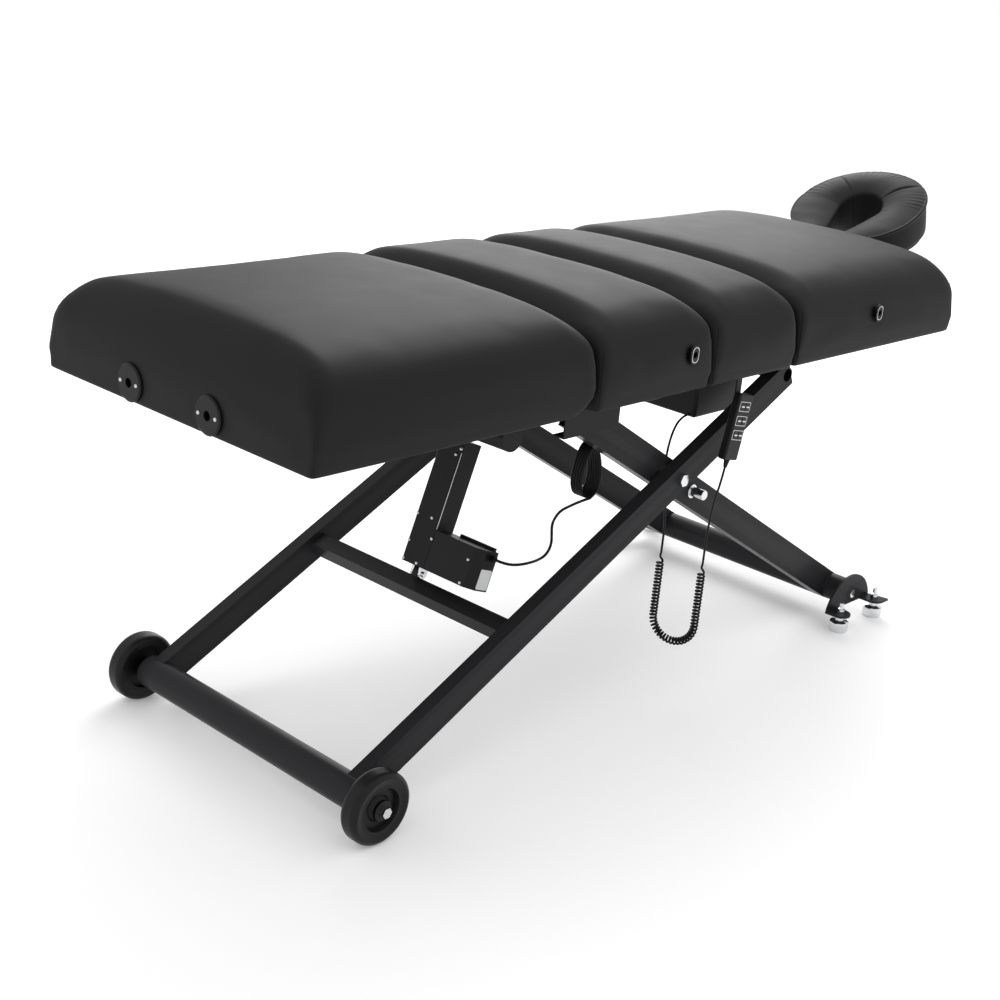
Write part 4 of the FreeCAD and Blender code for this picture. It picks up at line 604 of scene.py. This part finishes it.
# %% [markdown]
# Under the cover the foam is cut fuller than a flat slab, so the middle of each section stands higher than
# its edges. The rise fades to nothing at the long sides and at the gaps, where the sections must clear each
# other.

# %% Cushion covers: fuller crown
FULLER = 0.026
CROWN_END = 0.06
CROWN_FLATNESS = 4
CROWN_FOOT, CROWN_HEAD = 0.07, 0.02


def finer(piece):
    """Adds one level of smooth subdivision."""
    fine = piece.modifiers.new("fine", "SUBSURF")
    fine.levels = 1
    fine.render_levels = 1


for cover, node, body, low, high in covers:
    for vertex in cover.data.vertices:
        x, y, z = vertex.co
        lengthwise = ramp(x, low.x, low.x + CROWN_END) * ramp(-x, -high.x, -high.x + CROWN_END)
        crosswise = 1 - min(abs(y) / high.y, 1) ** CROWN_FLATNESS
        upper = ramp(z, high.z - CROWN_FOOT, high.z - CROWN_HEAD)
        vertex.co.z += FULLER * lengthwise * crosswise * upper
    finer(cover)
    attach(cover, body)
    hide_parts(node)
    print(cover.name, "highest point", round(max(v.co.z for v in cover.data.vertices), 4), "m")

# %% [markdown]
# The cover's corners are sewn upright: two panels meet in a thin ridge that runs down from the rounded top.
# A ray from outside finds the cover at each height, and a fine cord of the same leather lies along it. The
# corners at a section's foot end show, and those at the table's head end.

# %% Corner seams
SEAM_RADIUS = 0.0011
SEAM_STEPS = 14
SEAM_FOOT, SEAM_HEAD = 0.004, 0.045
OUTSIDE = 0.1


def corner_seam(name, cover, body, corner, middle, bottom, top):
    """A sewn ridge down one corner of a cover, found by looking in from outside the corner."""
    inward = Vector((math.copysign(1, middle - corner.x), -math.copysign(1, corner.y), 0)).normalized()
    mesh = cover.data
    skin = BVHTree.FromPolygons([v.co for v in mesh.vertices], [f.vertices for f in mesh.polygons])
    route = []
    for step in range(SEAM_STEPS + 1):
        height = bottom + (top - bottom) * step / SEAM_STEPS
        place = skin.ray_cast(Vector((corner.x, corner.y, height)) - inward * OUTSIDE, inward)[0]
        if place:
            route.append(place)
    seam = lead(name, route, SEAM_RADIUS, body)
    seam.data.materials.append(vinyl)


for cover, node, body, low, high in covers:
    ends = {"foot": low.x, "head": high.x} if node == "back_cushion" else {"foot": low.x}
    for end, x in ends.items():
        for side, y in (("near", low.y), ("far", high.y)):
            name = f"{node.replace('cushion', 'seam')}_{end}_{side}"
            corner_seam(name, cover, body, Vector((x, y, 0)), (low.x + high.x) / 2, low.z + SEAM_FOOT,
                        high.z - SEAM_HEAD)

# %% [markdown]
# The face cradle's pad is a horseshoe of foam with a sewn cover: a full rounded top in three panels, a
# straight band round the outside and a band inside that wraps the board's edge. It is lofted from one
# cross-section along the horseshoe, because that keeps the piped edge crisp, pinched where the two radial
# seams pull it down, and gathered near them.

# %% Cradle pad: its place, outline and section
TILT = math.radians(18)
PIN_X, PIN_Z = 960, 760
PAD_BASE = 21
PAD_REACH = 118
PAD_HOLE = 50
PAD_RIM = 152
RIM_STRETCH = 12
HALF_SWEEP = math.radians(172)
SLIT_START = math.radians(95)
SLIT_END = Vector((-150, 9, 0))
SECTION = ((59, -10), (62, 0), (75, 0), (100, 0), (125, 0), (144, 0), (149.5, 1), (151.5, 5), (152, 14),
           (152.3, 28), (152.3, 42), (152.2, 53), (152.6, 56.2), (154.4, 57.2), (155.5, 59.4), (155, 61.8),
           (153, 63), (150.8, 62), (147, 62.8), (138, 64.8), (124, 66.6), (108, 67), (94, 66), (82, 63.6),
           (71, 60.4), (62, 57.2), (56.5, 55), (53.6, 53.4), (52.2, 51.4), (51.6, 48), (50.6, 38), (50, 24),
           (50, 10), (50.5, -4), (52, -11), (56, -12))


def in_cradle(along, y, up):
    """A place on the cradle from its tilt pin: along the platform, across it and out of it."""
    x = along * math.cos(TILT) - up * math.sin(TILT)
    z = along * math.sin(TILT) + up * math.cos(TILT)
    return spot(PIN_X + x, y, PIN_Z + z)


def pad_outline(turn):
    """The hole's edge and the rim at an angle round the pad. Near the table the hole narrows to a slit."""
    way = Vector((math.cos(turn), math.sin(turn), 0))
    rim = way * (PAD_RIM + RIM_STRETCH * max(-way.x, 0))
    if abs(turn) <= SLIT_START:
        return way * PAD_HOLE, rim
    hand = math.copysign(1, turn)
    start = Vector((math.cos(SLIT_START), hand * math.sin(SLIT_START), 0)) * PAD_HOLE
    end = Vector((SLIT_END.x, hand * SLIT_END.y, 0))
    return start.lerp(end, (abs(turn) - SLIT_START) / (HALF_SWEEP - SLIT_START)), rim


print("pad section points", len(SECTION))

# %% Cradle pad: its swell, seams and gathers
SEAMS = (math.radians(-38), math.radians(51))
SEAM_WIDTH, SEAM_DEPTH, SEAM_TUCK = 0.026, 5, 0.02
SEAM_MIDDLE, SEAM_REACH = 101, 52
END_ROUND, END_HEIGHT = 0.16, 0.65
TOP_FOOT, TOP_DEPTH = 44, 24
WEDGE, WEDGE_LEAN = 1.17, 0.29
GATHER_RADIUS, GATHER_BAND = 138, 16
GATHER_FROM_SEAM, GATHER_SPREAD = 0.5, 0.25
GATHER_WAVES, GATHER_HEIGHT = 58, 0.9
RIPPLE_WAVES, RIPPLE_SIZE, RIPPLE_HEIGHT, RIPPLE_LAYER = 5, 40, 0.8, 2.5


def bell(distance, width):
    """A smooth hump of height 1 that fades with the distance from its middle."""
    return math.exp(-(distance / width) ** 2)


def pad_point(turn, radius, height):
    """A point of the pad at an angle round it, drawn in at its seams and its two ends."""
    near_seam = min(abs(turn - seam) for seam in SEAMS)
    pinch = bell(near_seam, SEAM_WIDTH)
    from_end = min(max(HALF_SWEEP - abs(turn), 0) / END_ROUND, 1)
    close = END_HEIGHT + (1 - END_HEIGHT) * math.sqrt(max(1 - (1 - from_end) ** 2, 0))
    wedge = WEDGE + WEDGE_LEAN * math.cos(turn)
    top = max(height - TOP_FOOT, 0) / TOP_DEPTH
    groove = SEAM_DEPTH * pinch * top * max(1 - ((radius - SEAM_MIDDLE) / SEAM_REACH) ** 2, 0)
    gather = GATHER_HEIGHT * math.sin(turn * GATHER_WAVES) * top
    gather *= bell(near_seam - GATHER_FROM_SEAM, GATHER_SPREAD) * bell(radius - GATHER_RADIUS, GATHER_BAND)
    ripple = noise.noise(Vector((turn * RIPPLE_WAVES, radius / RIPPLE_SIZE, RIPPLE_LAYER)))
    height = height * close * wedge - groove + gather + RIPPLE_HEIGHT * ripple * top
    share = (radius - PAD_HOLE) / (PAD_RIM - PAD_HOLE)
    share = 0.5 + (share - 0.5) * (1 - SEAM_TUCK * pinch)
    hole, rim = pad_outline(turn)
    flat = hole.lerp(rim, share)
    return in_cradle(PAD_REACH + flat.x, flat.y, PAD_BASE + height)


print("pad top at the middle of its arc", pad_point(0, SEAM_MIDDLE, max(up for _, up in SECTION)))

# %% Cradle pad: loft
PAD_STATIONS = 300


def bridge(net, first, second):
    """Quads between two closed loops of points."""
    count = len(first)
    for i in range(count):
        j = (i + 1) % count
        net.faces.new((first[i], first[j], second[j], second[i]))


def closed_piece(name, net, finish):
    """A new object from a net of faces, all turned outwards."""
    bmesh.ops.recalc_face_normals(net, faces=net.faces)
    mesh = bpy.data.meshes.new(name)
    net.to_mesh(mesh)
    net.free()
    mesh.materials.append(finish)
    return in_scene(name, mesh)


def loft(name, stations, place, section, finish):
    """A closed loft: the section at each station, with its two ends filled."""
    net = bmesh.new()
    loops = [[net.verts.new(place(turn, *corner)) for corner in section] for turn in stations]
    for first, second in zip(loops, loops[1:]):
        bridge(net, first, second)
    for loop in (loops[0], loops[-1]):
        centre = net.verts.new(sum((v.co for v in loop), Vector()) / len(loop))
        for a, b in zip(loop, loop[1:] + loop[:1]):
            net.faces.new((centre, a, b))
    return closed_piece(name, net, finish)


stations = [HALF_SWEEP * (2 * step / PAD_STATIONS - 1) for step in range(PAD_STATIONS + 1)]
pad_cover = loft("cradle_cover", stations, pad_point, SECTION, vinyl)
shade_smooth(pad_cover)
finer(pad_cover)
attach(pad_cover, "cradle_head")
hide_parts("cradle_pad")
print("cradle cover points", len(pad_cover.data.vertices))

# %% [markdown]
# Small fasteners and a bare label finish the lift column. Its shell is a flat cover held by pan-head screws
# near its edges, and the cover's near edge shows as a bright line where the paint stops. The motor's end
# carries a plain rating label without print. They are turned or cut to size here and ride with the column.

# %% Makers of screw heads and plates
HEAD_PROFILE = ((1.0, -0.1), (1.0, 0.25), (0.82, 0.5), (0.5, 0.62))
HEAD_TOP = 0.66
HEAD_SIDES = 14
PLATE_SINK = 0.2


def flat_piece(name, points, faces, finish):
    """A new object from points and faces."""
    mesh = bpy.data.meshes.new(name)
    mesh.from_pydata(points, [], faces)
    mesh.materials.append(finish)
    return in_scene(name, mesh)


def pan_heads(name, places, facing, radius, body):
    """Domed screw heads in one mesh, each turned about the way it faces."""
    spin = facing.to_track_quat("Z", "Y").to_matrix()
    points, faces = [], []
    for place in places:
        first = len(points)
        for share, rise in HEAD_PROFILE:
            for step in range(HEAD_SIDES):
                angle = 2 * math.pi * step / HEAD_SIDES
                rim = Vector((math.cos(angle) * share, math.sin(angle) * share, rise)) * radius
                points.append(place + spin @ rim)
        points.append(place + spin @ Vector((0, 0, HEAD_TOP * radius)))
        last = len(points) - 1 - HEAD_SIDES
        for step in range(HEAD_SIDES):
            after = (step + 1) % HEAD_SIDES
            for ring in range(first, last, HEAD_SIDES):
                a, b = ring + step, ring + after
                faces.append((a, b, b + HEAD_SIDES, a + HEAD_SIDES))
            faces.append((last + step, last + after, len(points) - 1))
    piece = flat_piece(name, points, faces, zinc)
    shade_smooth(piece)
    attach(piece, body)
    print(name, len(places))


def thin_plate(name, corners, facing, thickness, finish, body):
    """A flat plate standing off a face by its thickness."""
    step = facing.normalized() * thickness
    points = [corner - step * PLATE_SINK for corner in corners] + [corner + step for corner in corners]
    count = len(corners)
    faces = [tuple(range(count))[::-1], tuple(range(count, 2 * count))]
    faces += [(i, (i + 1) % count, (i + 1) % count + count, i + count) for i in range(count)]
    piece = flat_piece(name, points, faces, finish)
    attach(piece, body)


# %% Screws, cover edge and label on the lift column
LIFT_PIN, LIFT_EYE = Vector((-364, 0, 284)), Vector((-250, 0, 600))
COLUMN_Y = -18
COVER_FACE, COVER_SCREW = -25, 0.0032
COVER_SCREWS = ((26, 107), (-11, 108), (-26, 72), (26, 54), (26, 19), (-9, 19), (-18, 234), (-26, 247),
                (-124, 64), (-122, 19))
EDGE_FACE, EDGE_RISE = -24, 0.0006
COVER_EDGE = ((-29.2, 92), (-29.2, 240), (-30.2, 240), (-30.2, 92))
LABEL_FACE, LABEL_RISE = -147, 0.0004
LABEL = ((-6, 17), (21, 17), (23, 19), (23, 53), (21, 55), (-6, 55), (-8, 53), (-8, 19))
NEAR = Vector((0, -1, 0))
column_way = (LIFT_EYE - LIFT_PIN).normalized()
column_across = Vector((column_way.z, 0, -column_way.x))


def on_column(thick, y, along):
    """A place on the lift column: through its thickness, across the table, and up from its lower pin."""
    return spot(*(LIFT_PIN + column_across * thick + Vector((0, y + COLUMN_Y, 0)) + column_way * along))


cover_screws = [on_column(COVER_FACE, y, along) for y, along in COVER_SCREWS]
pan_heads("column_screws", cover_screws, -column_across, COVER_SCREW, "lift_actuator")
edge_corners = [on_column(EDGE_FACE, y, along) for y, along in COVER_EDGE]
thin_plate("cover_edge", edge_corners, -column_across, EDGE_RISE, zinc, "lift_actuator")
label_film = new_finish("polyester_label", Roughness=0.35, IOR=1.55)
vary_tone(label_film, cloud(label_film, size=4, detail=2), dark="#d4d5d6", light="#e2e3e3")
label_corners = [on_column(thick, LABEL_FACE, along) for thick, along in LABEL]
thin_plate("motor_label", label_corners, NEAR, LABEL_RISE, label_film, "lift_actuator")
print("label corners", len(label_corners))

# %% [markdown]
# The sockets at the foot end are held by two screws each, left and right of the bore.

# %% Socket screws
SOCKET_X, SOCKET_Y, SOCKET_Z = -931, 101.5, 704
SOCKET_SCREW, SCREW_OFFSET = 0.0034, 21
socket_screws = [spot(SOCKET_X, hand * SOCKET_Y + side * SCREW_OFFSET, SOCKET_Z)
                 for hand in (-1, 1) for side in (-1, 1)]
pan_heads("socket_screws", socket_screws, Vector((-1, 0, 0)), SOCKET_SCREW, "leg_section")

# %% [markdown]
# Each row of the handset's keys has a pale printed frame, and each key a pale dash, so that they can be
# found in dim light. The sockets on the long sides have a chromed eyelet. Frames and eyelets are thin
# raised rings that follow a rounded outline, so one function makes them. A dash rides on its key.

# %% Ring maker
RING_STEPS = 7
QUARTERS = ((1, 1, 0), (-1, 1, 90), (-1, -1, 180), (1, -1, 270))


def raised_ring(name, place, middle, levels, outer, inner, corner, finish, body):
    """A thin ring between two rounded outlines, drawn at the level of its top and of its foot."""
    net = bmesh.new()
    loops = []
    for level in levels:
        for half_x, half_z in (outer, inner):
            loop = []
            for sign_x, sign_z, start in QUARTERS:
                for step in range(RING_STEPS):
                    angle = math.radians(start + 90 * step / (RING_STEPS - 1))
                    x = middle[0] + sign_x * (half_x - corner) + corner * math.cos(angle)
                    z = middle[1] + sign_z * (half_z - corner) + corner * math.sin(angle)
                    loop.append(net.verts.new(place(x, level, z)))
            loops.append(loop)
    rim, bore, rim_foot, bore_foot = loops
    for first, second in ((rim, bore), (rim_foot, rim), (bore, bore_foot), (bore_foot, rim_foot)):
        bridge(net, first, second)
    piece = closed_piece(name, net, finish)
    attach(piece, body)


# %% Key frames and key marks
HANDSET_X, HANDSET_Y, HANDSET_Z = 128, -345, 512
LEAN = math.radians(12)
KEY_PITCH, ROW_PITCH, FIRST_ROW, KEY_RISE = 16, 28, 50, 1.6
FRAME_LEVELS = (-0.35, 0.1)
FRAME_OUTER, FRAME_INNER, FRAME_CORNER = (17.4, 9.6), (16.3, 8.5), 2.6
MARK, MARK_RISE = ((-5, -1.2), (5, -1.2), (5, 1.2), (-5, 1.2)), 0.0003


def on_handset(x, y, z):
    """A place on the handset from the bottom middle of its front."""
    return spot(HANDSET_X + x * math.cos(LEAN) + z * math.sin(LEAN), HANDSET_Y + y,
                HANDSET_Z - x * math.sin(LEAN) + z * math.cos(LEAN))


for row in range(3):
    row_z = FIRST_ROW + row * ROW_PITCH
    raised_ring(f"key_frame_{row + 1}", on_handset, (0, row_z), FRAME_LEVELS, FRAME_OUTER, FRAME_INNER,
                FRAME_CORNER, label_film, "top_frame")
    for column, side in enumerate(("left", "right")):
        key_x = (column - 0.5) * KEY_PITCH
        corners = [on_handset(key_x + x, -KEY_RISE, row_z + z) for x, z in MARK]
        thin_plate(f"key_mark_{row + 1}_{side}", corners, NEAR, MARK_RISE, label_film,
                   f"button_{row + 1}_{side}")
print("key frames 3, key marks 6")

# %% Socket eyelets
EYELET_TOP, EYELET_FOOT = 349.8, 348.8
EYELET_OUTER, EYELET_INNER, EYELET_CORNER = (9.4, 14.4), (8.4, 13.4), 8.2
EYELETS = (("seat", (-39, 743), "top_frame"), ("back", (594, 750), "back_section"))
for section, middle, body in EYELETS:
    for side, hand in (("near", -1), ("far", 1)):
        levels = (hand * EYELET_TOP, hand * EYELET_FOOT)
        raised_ring(f"{section}_eyelet_{side}", spot, middle, levels, EYELET_OUTER, EYELET_INNER,
                    EYELET_CORNER, chrome, body)
print("socket eyelets 4")

# %% [markdown]
# The piece stands on a plain pale floor, in the light of a white studio: a bright surround, a large soft
# box above and another behind the head end, which lays the sheen on the tops. The floor glows a little, as
# a lit studio sweep does, so that the ground is nearly white and the shadows stay faint.

# %% Floor and light
REACH = 40
FLOOR = ((-REACH, -REACH, 0), (REACH, -REACH, 0), (REACH, REACH, 0), (-REACH, REACH, 0))
floor_paper = new_finish("studio_paper", Base_Color=ink("#f4f4f4"), Roughness=0.9,
                         Emission_Color=ink("#ffffff"), Emission_Strength=0.15)
emboss(floor_paper, cloud(floor_paper, size=3, detail=2), strength=0.02, depth=0.0002)
studio_floor = flat_piece("studio_floor", FLOOR, [(0, 1, 2, 3)], floor_paper)
studio_floor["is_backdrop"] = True


def soft_box(name, place, aim, size, power):
    """A square area light at a place, facing a point."""
    data = bpy.data.lights.new(name, "AREA")
    data.shape = "SQUARE"
    data.size = size
    data.energy = power
    lamp = in_scene(name, data)
    lamp.location = place
    lamp.rotation_mode = "QUATERNION"
    lamp.rotation_quaternion = (Vector(aim) - Vector(place)).to_track_quat("-Z", "Y")
    print(name, "power", power, "W")


soft_box("overhead_box", place=(2.2, 1.5, 3.2), aim=(0.8, 0, 0.9), size=2.6, power=60)
soft_box("back_box", place=(3.6, 3.0, 2.1), aim=(0, 0, 0.8), size=2.8, power=62)
world = bpy.data.worlds.new("white_studio")
world.use_nodes = True
world.node_tree.nodes["Background"].inputs["Color"].default_value = (1, 1, 1, 1)
world.node_tree.nodes["Background"].inputs["Strength"].default_value = 1.0
bpy.context.scene.world = world
bpy.context.scene.view_settings.view_transform = "Standard"

# %% Sizes and finish
low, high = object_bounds()
print("visual box", low, high)
